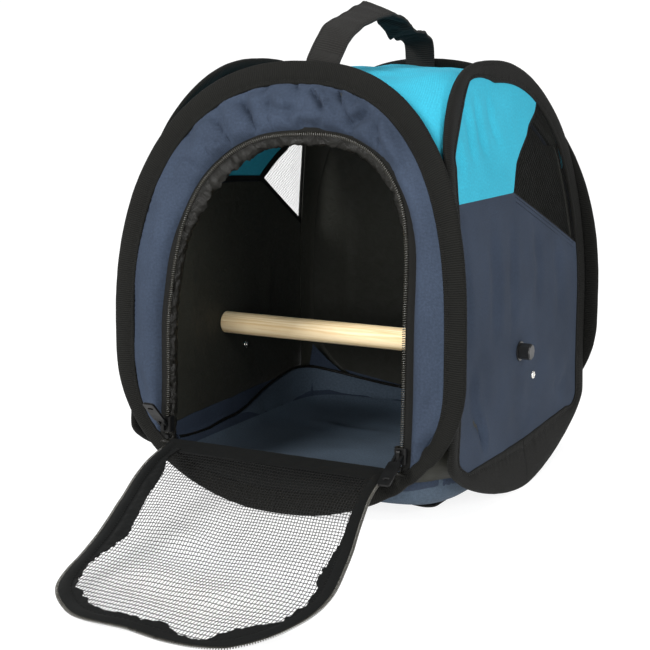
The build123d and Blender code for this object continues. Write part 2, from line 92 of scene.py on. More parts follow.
def hoop_outline(kind, inset, count=400, flat=0.5, plain=False):
    """Closed outline of a hoop as (across, up) points, clockwise from the top seen from outside, evenly spaced."""
    if kind == "front":
        half, z1, z2, top, bot = 136.0, 101.0, 120.0, 2.38, 2.03 + 0.023 * inset
    else:
        half, z1, z2, top, bot = 140.0, 52.0, 122.0, 2.59, 1.56 + (0.012 * inset if inset > 6 else 0.05)
    half -= inset
    high, low = HEIGHT - inset, inset - flat
    t = np.linspace(0, math.pi / 2, 401)
    a = np.c_[half * np.sin(t) ** (2 / top), z2 + (high - z2) * np.clip(np.cos(t), 0, 1) ** (2 / top)]
    m = np.c_[np.full(19, half), z2 + (z1 - z2) * np.arange(1, 20) / 20]
    b = np.c_[half * np.clip(np.cos(t), 0, 1) ** (2 / bot), z1 - (z1 - low) * np.sin(t) ** (2 / bot)]
    right = np.r_[a, m, b]
    if kind == "side":
        lim = lean_front(right[:, 1]) - 2.2 - 1.0 - inset
        k = 0.45
        lo = np.minimum(right[:, 0], lim)
        soft = lo - np.log(np.exp(-k * (right[:, 0] - lo)) + np.exp(-k * (lim - lo))) / k
        right[:, 0] = np.where(right[:, 0] > 30, np.maximum(0, soft), right[:, 0])
    full = evenly(np.r_[right, (right * [-1, 1])[-2:0:-1]], count)
    if kind == "side" and inset > 6 and not plain:
        # the inner edge of the binding runs straight up the front, and straight along above the ground
        k = min((inset - 6) / 10, 1.25)
        base = hoop_outline("side", 16.0, 1600, flat, True)
        edge = np.array([(-104, 236), (-103, 243), (-97, 249), (-84, 262), (-70, 275), (-59, 284.5), (-48, 292), (-38, 294), (-27, 294.3), (-10, 292), (0, 290)])

        def polar(q):
            return np.arctan2(q[:, 0], q[:, 1] - 200), np.hypot(q[:, 0], q[:, 1] - 200)
        ab, rb = polar(base)
        o = np.argsort(ab)
        ae, re = polar(edge)
        af, rf = polar(full)
        hit = (af > ae[0]) & (af < ae[-1])
        move = np.interp(af, ae, re) - np.interp(af, ab[o], rb[o])
        fade = smooth((af - ae[0]) / 0.12) * smooth((ae[-1] - af) / 0.12)
        rn = rf + np.where(hit, move * fade * k, 0)
        full = np.c_[rn * np.sin(af), 200 + rn * np.cos(af)]
        low_edge = base[base[:, 1] < 52]
        low_edge = low_edge[np.argsort(low_edge[:, 0])]
        rise = np.clip(34.5 + 0.045 * np.clip(full[:, 0], 0, None) - np.interp(full[:, 0], low_edge[:, 0], low_edge[:, 1]), 0, None)
        rise = rise * smooth((118 - np.abs(full[:, 0])) / 24) * (full[:, 1] < 70)
        full[:, 1] += rise * min(k, 1.1)
        full = evenly(full, count)
    return full


def smooth(x):
    x = np.clip(x, 0, 1)
    return x * x * (3 - 2 * x)


def evenly(points, count, closed=True):
    points = np.asarray(points, float)
    p = np.r_[points, points[:1]] if closed else points
    d = np.r_[0, np.cumsum(np.linalg.norm(np.diff(p, axis=0), axis=1))]
    keep = np.r_[True, np.diff(d) > 1e-9]
    d, p = d[keep], p[keep]
    t = np.linspace(0, d[-1], count + 1)[:-1] if closed else np.linspace(0, d[-1], count)
    return np.stack([np.interp(t, d, p[:, k]) for k in range(p.shape[1])], 1)


def length_of(p, closed=False):
    q = np.r_[p, p[:1]] if closed else p
    return float(np.linalg.norm(np.diff(q, axis=0), axis=1).sum())


ARCH_LINE = [(-92, 30), (-92, 44), (-92, 60), (-92, 80), (-92, 103), (-91.4, 125), (-89, 146.5), (-86.3, 167.7), (-82.3, 188.8), (-76.6, 206), (-69.5, 220), (-61, 231), (-51.4, 240), (-40.3, 247.4), (-25.5, 253.6), (-10, 256.6), (6, 257.8), (22, 258), (37, 256.4), (52, 251.4), (66.5, 242.2), (77, 230.4), (84.2, 217.7), (88.4, 204.5), (91, 186), (92, 166), (92, 146), (92, 120), (92, 87), (92, 60), (92, 44), (92, 30)]


def arch(out, count=240, bottom=None):
    """Open arch of the door opening, out mm outside the teeth line, from lower left to lower right."""
    p = np.asarray(ARCH_LINE, float)
    q = np.r_[[2 * p[0] - p[1]], p, [2 * p[-1] - p[-2]]]
    t = np.linspace(0, 1, 16, endpoint=False)[:, None]
    c = [0.5 * ((2 * b) + (c_ - a) * t + (2 * a - 5 * b + 4 * c_ - d) * t * t + (3 * b - a - 3 * c_ + d) * t ** 3) for a, b, c_, d in zip(q[:-3], q[1:-2], q[2:-1], q[3:])]
    c = evenly(np.r_[np.concatenate(c), [p[-1]]], 900, closed=False)
    for _ in range(30):
        c[1:-1] = 0.25 * c[:-2] + 0.5 * c[1:-1] + 0.25 * c[2:]
    d = np.gradient(c, axis=0)
    d /= np.linalg.norm(d, axis=1)[:, None]
    c = c + np.c_[-d[:, 1], d[:, 0]] * out
    low = 43.0 if bottom is None else bottom
    keep = c[:, 1] > low
    c = np.r_[[[-92.0 - out, low]], c[keep], [[92.0 + out, low]]]
    return evenly(c, count, closed=False)


def place(kind, side, u, z, out):
    """Points on a leaning wall, out mm along its outward normal. side -1 is front or left, +1 back or right."""
    lean = lean_front if kind == "front" else lean_side
    slope = (lean(z + 0.5) - lean(z - 0.5))
    n = np.sqrt(1 + slope * slope)
    w, h = side * (lean(z) + out / n), z - out * slope / n
    return np.stack([u, w, h], -1) if kind == "front" else np.stack([w, u, h], -1)


# ================================================================ mesh tools
def inside(poly, p):
    """Which points lie in a closed outline."""
    x, y = p[:, 0][:, None], p[:, 1][:, None]
    x0, y0 = poly[:, 0][None], poly[:, 1][None]
    x1, y1 = np.roll(poly[:, 0], -1)[None], np.roll(poly[:, 1], -1)[None]
    with np.errstate(divide="ignore", invalid="ignore"):
        hit = ((y0 > y) != (y1 > y)) & (x < (x1 - x0) * (y - y0) / (y1 - y0) + x0)
    return hit.sum(1) % 2 == 1


def distance(line, p, closed=False):
    """Distance of points from a polyline."""
    a = np.asarray(line, float)
    b = np.roll(a, -1, 0) if closed else a[1:]
    a = a if closed else a[:-1]
    best = np.full(len(p), 1e9)
    ab = b - a
    ll = (ab * ab).sum(1) + 1e-12
    for i in range(0, len(p), 2000):
        q = p[i:i + 2000]
        t = np.clip(((q[:, None] - a[None]) * ab[None]).sum(2) / ll, 0, 1)
        best[i:i + 2000] = np.linalg.norm(q[:, None] - a[None] - t[..., None] * ab[None], axis=2).min(1)
    return best


def fill(poly, step, edge=None):
    """Triangles that fill a closed outline. Returns 2-D points, triangles and which points are on the edge."""
    edge = edge or step
    corners = [poly[0]]
    rim = evenly(poly, max(12, int(length_of(poly, True) / edge)))
    lo, hi = poly.min(0), poly.max(0)
    rows = np.arange(lo[1] - step, hi[1] + step, step * 0.866)
    grid = [np.c_[np.arange(lo[0] - step, hi[0] + step, step) + (i % 2) * step / 2, np.full(len(np.arange(lo[0] - step, hi[0] + step, step)), y)] for i, y in enumerate(rows)]
    g = np.concatenate(grid)
    g = g[inside(rim, g)]
    g = g[distance(rim, g, True) > 0.55 * step]
    pts = np.r_[rim, g]
    n = len(rim)
    res = delaunay_2d_cdt([Vector(p) for p in pts.tolist()], [(i, (i + 1) % n) for i in range(n)], [], 0, 1e-6)
    out = np.array([tuple(v) for v in res[0]])
    tri = np.array([f for f in res[2] if len(f) == 3])
    c = out[tri].mean(1)
    tri = tri[inside(rim, c)]
    a, b, d = out[tri[:, 0]], out[tri[:, 1]], out[tri[:, 2]]
    area = (b - a)[:, 0] * (d - a)[:, 1] - (b - a)[:, 1] * (d - a)[:, 0]
    tri[area < 0] = tri[area < 0][:, ::-1]
    tri = tri[np.abs(area) > 1e-6]
    used = np.unique(tri)
    new = np.full(len(out), -1)
    new[used] = np.arange(len(used))
    out, tri = out[used], new[tri]
    count = {}
    for f in tri.tolist():
        for a, b in ((f[0], f[1]), (f[1], f[2]), (f[2], f[0])):
            k = (a, b) if a < b else (b, a)
            count[k] = count.get(k, 0) + 1
    rim_of = np.zeros(len(out), bool)
    for (a, b), c in count.items():
        if c == 1:
            rim_of[a] = rim_of[b] = True
    return out, tri, rim_of


def normals_of(p, faces):
    n = np.zeros_like(p)
    for f in faces_by_size(faces):
        k = f.shape[1]
        fn = np.zeros((len(f), 3))
        for i in range(1, k - 1):
            fn += np.cross(p[f[:, i]] - p[f[:, 0]], p[f[:, i + 1]] - p[f[:, 0]])
        for i in range(k):
            np.add.at(n, f[:, i], fn)
    return n / np.maximum(np.linalg.norm(n, axis=1), 1e-12)[:, None]


def faces_by_size(faces):
    if isinstance(faces, np.ndarray):
        return [faces]
    sizes = sorted({len(f) for f in faces})
    return [np.array([f for f in faces if len(f) == s]) for s in sizes]


def area_of(p, faces):
    total = 0.0
    for f in faces_by_size(faces):
        for i in range(1, f.shape[1] - 1):
            total += float(np.linalg.norm(np.cross(p[f[:, i]] - p[f[:, 0]], p[f[:, i + 1]] - p[f[:, 0]]), axis=1).sum()) / 2
    return total


def thicken(p, faces, thick, uv=None):
    """A closed skin, thick mm through, about the middle surface p."""
    n = normals_of(p, faces)
    t = np.asarray(thick, float)
    t = t[:, None] if t.ndim else t
    v = np.r_[p + n * t / 2, p - n * t / 2]
    m = len(p)
    fl = [tuple(int(i) for i in f) for f in faces]
    out = list(fl) + [tuple(i + m for i in f[::-1]) for f in fl]
    seen = {}
    for f in fl:
        for a, b in zip(f, f[1:] + f[:1]):
            seen[(a, b)] = True
    for a, b in seen:
        if (b, a) not in seen:
            out.append((a, a + m, b + m, b))
    return v, out, (None if uv is None else np.r_[uv, uv])


def mesh(name, v, faces, material, uv=None, sharp=50, body="shell", stands_for=()):
    me = bpy.data.meshes.new(name)
    me.from_pydata((np.asarray(v) * 0.001).tolist(), [], [tuple(int(i) for i in f) for f in faces])
    me.validate()
    me.polygons.foreach_set("use_smooth", [True] * len(me.polygons))
    if uv is not None:
        layer = me.uv_layers.new(name="cloth")
        idx = np.zeros(len(me.loops), np.int32)
        me.loops.foreach_get("vertex_index", idx)
        layer.uv.foreach_set("vector", (np.asarray(uv)[idx] * 0.001).astype(np.float32).ravel())
    if sharp:
        me.set_sharp_from_angle(angle=math.radians(sharp))
    me.materials.append(material)
    me.update()
    o = bpy.data.objects.new(name, me)
    scene.collection.objects.link(o)
    if body:
        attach(o, body)
    if stands_for:
        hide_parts(*([stands_for] if isinstance(stands_for, str) else stands_for))
    return o


def grid_faces(n, m, wrap_n=False, wrap_m=False):
    f = []
    for i in range(n if wrap_n else n - 1):
        for j in range(m if wrap_m else m - 1):
            a, b = i * m + j, ((i + 1) % n) * m + j
            c, d = ((i + 1) % n) * m + (j + 1) % m, i * m + (j + 1) % m
            f.append((a, b, c, d))
    return f


def noise3(p, scale, seed=0.0):
    """Smooth noise, about -1 to 1, at points p with the given feature size in mm."""
    out = np.empty(len(p))
    for i, (x, y, z) in enumerate((np.asarray(p, float) / scale + [seed * 7.31, seed * 3.17, seed * 1.93]).tolist()):
        out[i] = noise.noise((x, y, z))
    return out * 1.6


def fold(p, points, width, height, side=0.0, taper=0.35):
    """Height of a fold along a line of 2-D points: a ridge (or a valley if height is negative) that fades to both ends."""
    line = evenly(np.array(points, float), 24, closed=False)
    a, b = line[:-1], line[1:]
    ab = b - a
    ll = (ab * ab).sum(1)
    t = np.clip(((p[:, None] - a[None]) * ab[None]).sum(2) / ll, 0, 1)
    d = p[:, None] - a[None] - t[..., None] * ab[None]
    dist = np.linalg.norm(d, axis=2)
    k = dist.argmin(1)
    r = np.arange(len(p))
    along = (k + t[r, k]) / len(a)
    cross = ab[k, 0] * d[r, k, 1] - ab[k, 1] * d[r, k, 0]
    x = dist[r, k] * np.sign(cross) / width
    fade = np.clip(along / taper, 0, 1) * np.clip((1 - along) / taper, 0, 1)
    fade = fade * fade * (3 - 2 * fade)
    shape = np.exp(-x * x) - side * np.exp(-((x - 1.5) ** 2)) 
    return height * shape * fade


def split(poly, path):
    """The two parts of a closed outline each side of a path that crosses it twice: (left of the path's direction, right of it)."""
    hits = []
    n = len(poly)
    for j in range(len(path) - 1):
        c, d = np.array(path[j], float), np.array(path[j + 1], float)
        for i in range(n):
            a, b = poly[i], poly[(i + 1) % n]
            r, s = b - a, d - c
            den = r[0] * s[1] - r[1] * s[0]
            if abs(den) < 1e-12:
                continue
            t = ((c - a)[0] * s[1] - (c - a)[1] * s[0]) / den
            w = ((c - a)[0] * r[1] - (c - a)[1] * r[0]) / den
            if 0 <= t < 1 and 0 <= w < 1:
                hits.append((j + w, i + t, a + t * r))
    hits.sort(key=lambda h: h[0])
    (pj, pi, p0), (qj, qi, q0) = hits[0], hits[-1]
    mid = [np.array(path[k], float) for k in range(int(pj) + 1, int(qj) + 1)]

    def run(i0, i1):
        out = []
        k = int(math.floor(i0)) + 1
        end = int(math.floor(i1))
        while True:
            if k % n == (end + 1) % n and len(out) > 0:
                break
            out.append(poly[k % n])
            if k % n == end % n:
                break
            k += 1
        return out
    one = np.array([p0] + mid + [q0] + run(qi, pi))
    two = np.array([q0] + mid[::-1] + [p0] + run(pi, qi))

    def signed(p):
        x, y = p[:, 0], p[:, 1]
        return 0.5 * float((x * np.roll(y, -1) - y * np.roll(x, -1)).sum())
    return (one, two) if signed(one) > 0 else (two, one)


def relax_cloth(p, tris, pins, grow, frames=24, quality=5, bend=0.4, gravity=0.0, push=None):
    """Lets a sheet of cloth with a little spare cloth settle between its pinned points. p in mm."""
    if not frames:
        return p
    me = bpy.data.meshes.new("settle")
    me.from_pydata((p * 0.01).tolist(), [], tris.tolist())
    o = bpy.data.objects.new("settle", me)
    scene.collection.objects.link(o)
    g = o.vertex_groups.new(name="pin")
    for w in np.unique(np.round(pins, 2)):
        idx = np.flatnonzero(np.round(pins, 2) == w)
        if w > 0:
            g.add([int(i) for i in idx], float(w), "REPLACE")
    s = o.vertex_groups.new(name="slack")
    amount = np.clip(np.broadcast_to(np.asarray(grow, float), (len(p),)), 0, None)
    top = max(1e-6, float(amount.max()))
    for w in np.unique(np.round(amount / top, 2)):
        idx = np.flatnonzero(np.round(amount / top, 2) == w)
        s.add([int(i) for i in idx], float(w), "REPLACE")
    mod = o.modifiers.new("cloth", "CLOTH")
    c = mod.settings
    c.quality = quality
    c.mass = 0.3
    c.tension_stiffness = c.compression_stiffness = 25
    c.shear_stiffness = 12
    c.bending_stiffness = bend
    c.tension_damping = c.compression_damping = c.shear_damping = 12
    c.bending_damping = 1
    c.air_damping = 4
    c.vertex_group_mass = "pin"
    c.pin_stiffness = 1
    c.vertex_group_shrink = "slack"
    c.shrink_min = 0.0
    c.shrink_max = -top
    c.effector_weights.gravity = gravity
    if push is not None:
        co = p * 0.01 + push * 0.01
        me.vertices.foreach_set("co", co.astype(np.float32).ravel())
    for f in range(1, frames + 1):
        scene.frame_set(f)
    ev = o.evaluated_get(bpy.context.evaluated_depsgraph_get())
    out = np.zeros(len(p) * 3, np.float32)
    ev.data.vertices.foreach_get("co", out)
    out = out.reshape(-1, 3).astype(float) * 100
    bpy.data.objects.remove(o)
    bpy.data.meshes.remove(me)
    scene.frame_set(1)
    move = out - p
    far = np.linalg.norm(move, axis=1)
    cap = 9.0
    return p + move * np.minimum(1, cap / np.maximum(far, 1e-9))[:, None]


def declare(p, faces, flat=None):
    """Works out a sheet's flat size from the area of its own surface, laid out; the result is not kept."""
    a = area_of(p, faces) * 1e-6
    if flat is None:
        span = np.sort(np.ptp(p, axis=0))[::-1][:2] * 0.001
        flat = (float(span[1]), float(span[0]))
    w, l = flat
    if w * l < a:
        k = math.sqrt(a / (w * l)) * 1.002
        w, l = w * k, l * k
    w, l = math.ceil(w * 1e4) / 1e4, math.ceil(l * 1e4) / 1e4


# ================================================================ materials
class Nodes:
    def __init__(self, name):
        self.m = bpy.data.materials.new(name)
        self.m.use_nodes = True
        self.t = self.m.node_tree
        self.t.nodes.clear()
        self.out = self.t.nodes.new("ShaderNodeOutputMaterial")
        self.b = self.t.nodes.new("ShaderNodeBsdfPrincipled")
        self.t.links.new(self.b.outputs[0], self.out.inputs["Surface"])

    def node(self, kind, **k):
        n = self.t.nodes.new("ShaderNode" + kind)
        for a, v in k.items():
            setattr(n, a, v)
        return n

    def put(self, socket, value):
        if isinstance(value, bpy.types.NodeSocket):
            self.t.links.new(value, socket)
        else:
            socket.default_value = value

    def math(self, op, *v, clamp=False):
        n = self.node("Math", operation=op, use_clamp=clamp)
        for i, x in enumerate(v):
            self.put(n.inputs[i], x)
        return n.outputs[0]

    def uv(self):
        return self.node("UVMap", uv_map="cloth").outputs[0]

    def object(self):
        return self.node("TexCoord").outputs["Object"]

    def split(self, vec):
        n = self.node("SeparateXYZ")
        self.put(n.inputs[0], vec)
        return n.outputs[0], n.outputs[1], n.outputs[2]

    def noise(self, vec, scale, detail=3.0, rough=0.5, distortion=0.0):
        n = self.node("TexNoise")
        self.put(n.inputs["Vector"], vec)
        n.inputs["Scale"].default_value = scale
        n.inputs["Detail"].default_value = detail
        n.inputs["Roughness"].default_value = rough
        n.inputs["Distortion"].default_value = distortion
        return n.outputs[0]

    def ramp(self, fac, stops, interp="LINEAR"):
        n = self.node("ValToRGB")
        n.color_ramp.interpolation = interp
        el = n.color_ramp.elements
        while len(el) < len(stops):
            el.new(0.5)
        for e, (pos, col) in zip(el, stops):
            e.position = pos
            e.color = (*col, 1) if len(col) == 3 else col
        self.put(n.inputs[0], fac)
        return n.outputs[0]

    def span(self, x, a, b, c, d):
        n = self.node("MapRange")
        self.put(n.inputs[0], x)
        for i, v in enumerate((a, b, c, d)):
            n.inputs[i + 1].default_value = v
        return n.outputs[0]

    def mix(self, f, a, b):
        n = self.node("Mix", data_type="RGBA")
        self.put(n.inputs[0], f)
        self.put(n.inputs[6], a)
        self.put(n.inputs[7], b)
        return n.outputs[2]

    def bump(self, height, strength, distance, below=None):
        n = self.node("Bump")
        n.inputs["Strength"].default_value = strength
        n.inputs["Distance"].default_value = distance
        self.put(n.inputs["Height"], height)
        if below is not None:
            self.put(n.inputs["Normal"], below)
        return n.outputs[0]

    def set(self, **k):
        for a, v in k.items():
            self.put(self.b.inputs[a.replace("_", " ")], v)
        return self


def shade(c, k):
    return tuple(min(1.0, x * k) for x in c)


def woven(name, colour, pitch=0.55, twill=False, rough=0.82, sheen=0.06, vary=0.10, weave=0.35, dust=0.0, fading_and_highlight=1.25):
    """Woven polyester: threads over and under at the given pitch in mm, slubs, soft wrinkles in the finish and slight
    fading; the thread crowns are also painted a little lighter, a painted highlight.
    """
    n = Nodes(name)
    uv = n.uv()
    u, v, _ = n.split(uv)
    k = TAU / (pitch * 0.001)
    if twill:
        diag = n.math("ADD", u, n.math("MULTIPLY", v, 0.62))
        a = n.math("SINE", n.math("MULTIPLY", diag, k * 0.8))
        b = n.math("SINE", n.math("MULTIPLY", v, k * 1.7))
        height = n.math("ADD", n.math("MULTIPLY", a, 0.4), n.math("MULTIPLY", b, 0.22))
    else:
        a = n.math("SINE", n.math("MULTIPLY", u, k))
        b = n.math("SINE", n.math("MULTIPLY", v, k))
        height = n.math("ADD", n.math("MULTIPLY", n.math("MULTIPLY", a, b), 0.5), n.math("MULTIPLY", n.math("ADD", a, b), 0.12))
    slub = n.noise(uv, 620.0, 2.0, 0.6)
    cloud = n.noise(uv, 14.0, 4.0, 0.55)
    crease = n.noise(uv, 42.0, 5.0, 0.6, 0.6)
    # the tone mixes random mottling and slubs with the weave height, so the thread crowns are painted lighter: a
    # painted highlight
    tone = n.math("ADD", n.math("MULTIPLY", cloud, 0.6), n.math("ADD", n.math("MULTIPLY", slub, 0.55), n.math("MULTIPLY", height, 0.16)))
    base = n.ramp(tone, [(0.38, shade(colour, 1 - vary)), (0.60, colour), (0.82, shade(colour, 1 + vary * fading_and_highlight))])
    n.set(Base_Color=base)
    n.b.inputs["Sheen Weight"].default_value = sheen
    n.b.inputs["Specular IOR Level"].default_value = 0.10
    n.b.inputs["Sheen Roughness"].default_value = 0.45
    n.b.inputs["Sheen Tint"].default_value = (*shade(tuple(0.5 + 0.5 * c for c in colour), 1.0), 1)
    n.put(n.b.inputs["Roughness"], n.span(slub, 0.2, 0.8, rough - 0.06, rough + 0.08))
    soft = n.bump(crease, 0.22, 0.0012)
    n.put(n.b.inputs["Normal"], n.bump(n.math("ADD", height, n.math("MULTIPLY", slub, 0.5)), weave, 0.00012, soft))
    return n.m


def grosgrain(name, colour, pitch=1.35, rough=0.78, along=1, depth=1.0, vary=0.26, sheen=0.05):
    """Ribbed tape: ribs across its length, fine threads along it, slightly browned, and painted lighter on the rib
    crests: a painted highlight.
    """
    n = Nodes(name)
    uv = n.uv()
    u, v, _ = n.split(uv)
    s, w = (u, v) if along == 1 else (v, u)
    wob = n.math("MULTIPLY", n.noise(uv, 60.0, 2.0), 0.0006)
    rib = n.math("SINE", n.math("MULTIPLY", n.math("ADD", s, wob), TAU / (pitch * 0.001)))
    rib = n.math("MULTIPLY_ADD", rib, 0.5, 0.5)
    fine = n.math("SINE", n.math("MULTIPLY", w, TAU / 0.00042))
    slub = n.noise(uv, 900.0, 2.0, 0.6)
    cloud = n.noise(uv, 22.0, 4.0, 0.6)
    # the rib crests are painted lighter than the troughs, in step with the rib bump: a painted highlight; the clouds
    # and slubs are random tone
    tone = n.math("ADD", n.math("MULTIPLY", rib, 0.45), n.math("ADD", n.math("MULTIPLY", cloud, 0.35), n.math("MULTIPLY", slub, 0.2)))
    base = n.ramp(tone, [(0.15, shade(colour, 1 - 2 * vary)), (0.5, colour), (0.9, shade(colour, 1 + 2.2 * vary))])
    n.set(Base_Color=base)
    n.b.inputs["Sheen Weight"].default_value = sheen
    n.b.inputs["Specular IOR Level"].default_value = 0.13
    n.b.inputs["Sheen Roughness"].default_value = 0.4
    n.put(n.b.inputs["Roughness"], n.span(slub, 0.2, 0.8, rough - 0.08, rough + 0.1))
    h = n.math("ADD", n.math("POWER", rib, 0.7), n.math("MULTIPLY", fine, 0.08))
    soft = n.bump(n.noise(uv, 70.0, 3.0, 0.6), 0.3, 0.0010)
    n.put(n.b.inputs["Normal"], n.bump(n.math("ADD", h, n.math("MULTIPLY", slub, 0.3)), depth, 0.00028, soft))
    return n.m


def coated(name, colour, rough=0.42, crumple=0.5, sheen=0.1, gloss=0.3):
    """Thin coated lining: fine plain weave under a slight gloss, with small crumples."""
    n = Nodes(name)
    uv = n.uv()
    u, v, _ = n.split(uv)
    a = n.math("SINE", n.math("MULTIPLY", u, TAU / 0.0005))
    b = n.math("SINE", n.math("MULTIPLY", v, TAU / 0.0005))
    w = n.math("MULTIPLY", a, b)
    fine = n.noise(uv, 130.0, 5.0, 0.62, 0.8)
    cloud = n.noise(uv, 18.0, 3.0)
    base = n.ramp(n.math("ADD", n.math("MULTIPLY", cloud, 0.5), n.math("MULTIPLY", fine, 0.5)), [(0.3, shade(colour, 0.8)), (0.6, colour), (0.8, shade(colour, 1.3))])
    n.set(Base_Color=base)
    n.b.inputs["Sheen Weight"].default_value = sheen
    n.b.inputs["Specular IOR Level"].default_value = gloss
    n.put(n.b.inputs["Roughness"], n.span(fine, 0.3, 0.7, rough - 0.08, rough + 0.12))
    soft = n.bump(fine, crumple, 0.0018)
    n.put(n.b.inputs["Normal"], n.bump(w, 0.2, 0.00008, soft))
    return n.m


def yarn(name, colour, rough=0.55):
    """Twisted filament yarn."""
    n = Nodes(name)
    p = n.object()
    a = n.noise(p, 2500.0, 2.0, 0.6)
    c = n.noise(p, 60.0, 3.0)
    n.set(Base_Color=n.ramp(n.math("ADD", n.math("MULTIPLY", a, 0.6), n.math("MULTIPLY", c, 0.4)), [(0.3, shade(colour, 0.7)), (0.6, colour), (0.8, shade(colour, 1.8))]))
    n.b.inputs["Sheen Weight"].default_value = 0.01
    n.b.inputs["Specular IOR Level"].default_value = 0.14
    n.put(n.b.inputs["Roughness"], n.span(a, 0.2, 0.8, rough - 0.1, rough + 0.1))
    n.put(n.b.inputs["Normal"], n.bump(a, 0.5, 0.0001))
    return n.m


def moulded(name, colour, rough=0.4, spec=0.5, grain=0.2, coat=0.0):
    n = Nodes(name)
    p = n.object()
    a = n.noise(p, 1800.0, 3.0, 0.6)
    c = n.noise(p, 120.0, 4.0, 0.6)
    n.set(Base_Color=n.ramp(c, [(0.3, shade(colour, 0.8)), (0.6, colour), (0.8, shade(colour, 1.35))]))
    n.b.inputs["Specular IOR Level"].default_value = spec
    n.b.inputs["Coat Weight"].default_value = coat
    n.b.inputs["Coat Roughness"].default_value = 0.12
    n.put(n.b.inputs["Roughness"], n.span(c, 0.25, 0.75, max(0.05, rough - 0.08), rough + 0.12))
    n.put(n.b.inputs["Normal"], n.bump(a, grain, 0.00008))
    return n.m


def metal(name, colour, rough=0.3, brushed=400.0):
    n = Nodes(name)
    p = n.object()
    a = n.noise(p, brushed, 4.0, 0.6)
    c = n.noise(p, 90.0, 4.0, 0.6)
    n.set(Base_Color=n.ramp(c, [(0.3, shade(colour, 0.75)), (0.6, colour), (0.8, shade(colour, 1.1))]))
    n.b.inputs["Metallic"].default_value = 1.0
    n.put(n.b.inputs["Roughness"], n.span(a, 0.25, 0.75, rough - 0.08, rough + 0.15))
    n.put(n.b.inputs["Normal"], n.bump(a, 0.15, 0.00005))
    return n.m


def pine(name):
    """Sanded pine dowel: growth bands and pores that run along X, a few darker streaks."""
    n = Nodes(name)
    p = n.object()
    x, y, z = n.split(p)
    st = n.node("CombineXYZ")
    n.put(st.inputs[0], n.math("MULTIPLY", x, 0.05))
    n.put(st.inputs[1], y)
    n.put(st.inputs[2], z)
    vec = st.outputs[0]
    band = n.noise(vec, 190.0, 3.0, 0.5, 1.2)
    wave = n.math("SINE", n.math("MULTIPLY", n.math("ADD", n.math("ADD", y, n.math("MULTIPLY", z, 0.35)), n.math("MULTIPLY", band, 0.004)), TAU / 0.0021))
    fibre = n.noise(vec, 2600.0, 3.0, 0.7)
    tone = n.math("ADD", n.math("MULTIPLY", wave, 0.13), n.math("ADD", n.math("MULTIPLY", band, 0.55), n.math("MULTIPLY", fibre, 0.3)))
    n.set(Base_Color=n.ramp(tone, [(0.15, (0.62, 0.42, 0.20)), (0.42, (0.76, 0.58, 0.33)), (0.62, (0.84, 0.69, 0.45)), (0.85, (0.88, 0.76, 0.54))]))
    n.b.inputs["Specular IOR Level"].default_value = 0.35
    n.put(n.b.inputs["Roughness"], n.span(fibre, 0.2, 0.8, 0.5, 0.68))
    n.put(n.b.inputs["Normal"], n.bump(n.math("ADD", fibre, n.math("MULTIPLY", wave, 0.15)), 0.25, 0.0002))
    return n.m


NAVY = (0.0262, 0.0362, 0.0565)
# the floor navy is the wall navy painted about twice as light, standing in for light that reaches the cabin floor:
# painted light
FLOOR_NAVY_PAINTED_LIGHT = (0.0560, 0.0765, 0.1030)
TURQ = (0.0330, 0.330, 0.455)
M = dict(
    navy=woven("navy_polyester", NAVY, pitch=0.95, sheen=0.02, vary=0.30, weave=0.8),
    floor=woven("floor_polyester_painted_light", FLOOR_NAVY_PAINTED_LIGHT, pitch=0.95, sheen=0.02, vary=0.30, weave=0.8),
    turquoise=woven("turquoise_polyester", TURQ, pitch=1.5, twill=True, sheen=0.02, vary=0.17, weave=0.9),
    tape=grosgrain("ribbed_binding", (0.0050, 0.0050, 0.0042), sheen=0.01, pitch=1.5, vary=0.3, depth=1.3),
    web=grosgrain("webbing", (0.0125, 0.012, 0.0110), pitch=1.7, vary=0.36, depth=1.2, sheen=0.02),
    lining=coated("black_lining", (0.0165, 0.0168, 0.0120), rough=0.66, crumple=0.3, sheen=0.02),
    # a darker copy of the black lining for the back wall inside: painted shade
    back_lining=coated("black_lining_painted_shade", (0.0098, 0.0102, 0.0068), rough=0.74, crumple=0.3, sheen=0.01),
    hem=coated("crumpled_lining", (0.0052, 0.0049, 0.0036), rough=0.36, crumple=1.0, sheen=0.0, gloss=0.2),
    border=woven("door_border", (0.0042, 0.0045, 0.0044), pitch=0.9, twill=True, rough=0.66, sheen=0.02, vary=0.25),
    ziptape=grosgrain("zip_tape", (0.0062, 0.0062, 0.0056), pitch=0.8, depth=0.6, vary=0.15, sheen=0.01),
    net=yarn("net_yarn", (0.0078, 0.0080, 0.0076)),
    thread=yarn("sewing_thread", (0.016, 0.020, 0.032)),
    coil=moulded("zip_coil", (0.022, 0.020, 0.013), rough=0.28, spec=0.7, grain=0.1),
    enamel=moulded("black_enamel", (0.005, 0.005, 0.005), rough=0.36, spec=0.16, grain=0.05, coat=0.0),
    plastic=moulded("black_plastic", (0.009, 0.009, 0.009), rough=0.36),
    steel=metal("spring_steel", (0.42, 0.43, 0.45)),
    zinc=metal("zinc_plated", (0.62, 0.62, 0.60), 0.3),
    nickel=metal("nickel", (0.80, 0.78, 0.73), 0.18),
    pine=pine("sanded_pine"),
)
for node, key in dict(
    perch="pine", perch_studs="zinc", perch_washers="plastic", spare_eyelets="nickel",
    perch_knob_left="plastic", perch_knob_right="plastic",
    front_hoop="steel", back_hoop="steel", left_hoop="steel", right_hoop="steel",
    zip_slider_left="enamel", zip_slider_right="enamel", zip_pull_left="enamel", zip_pull_right="enamel", zip_end_stops="enamel",
).items():
    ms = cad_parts[node].data.materials
    if len(ms):
        for i in range(len(ms)):
            ms[i] = M[key]
    else:
        ms.append(M[key])


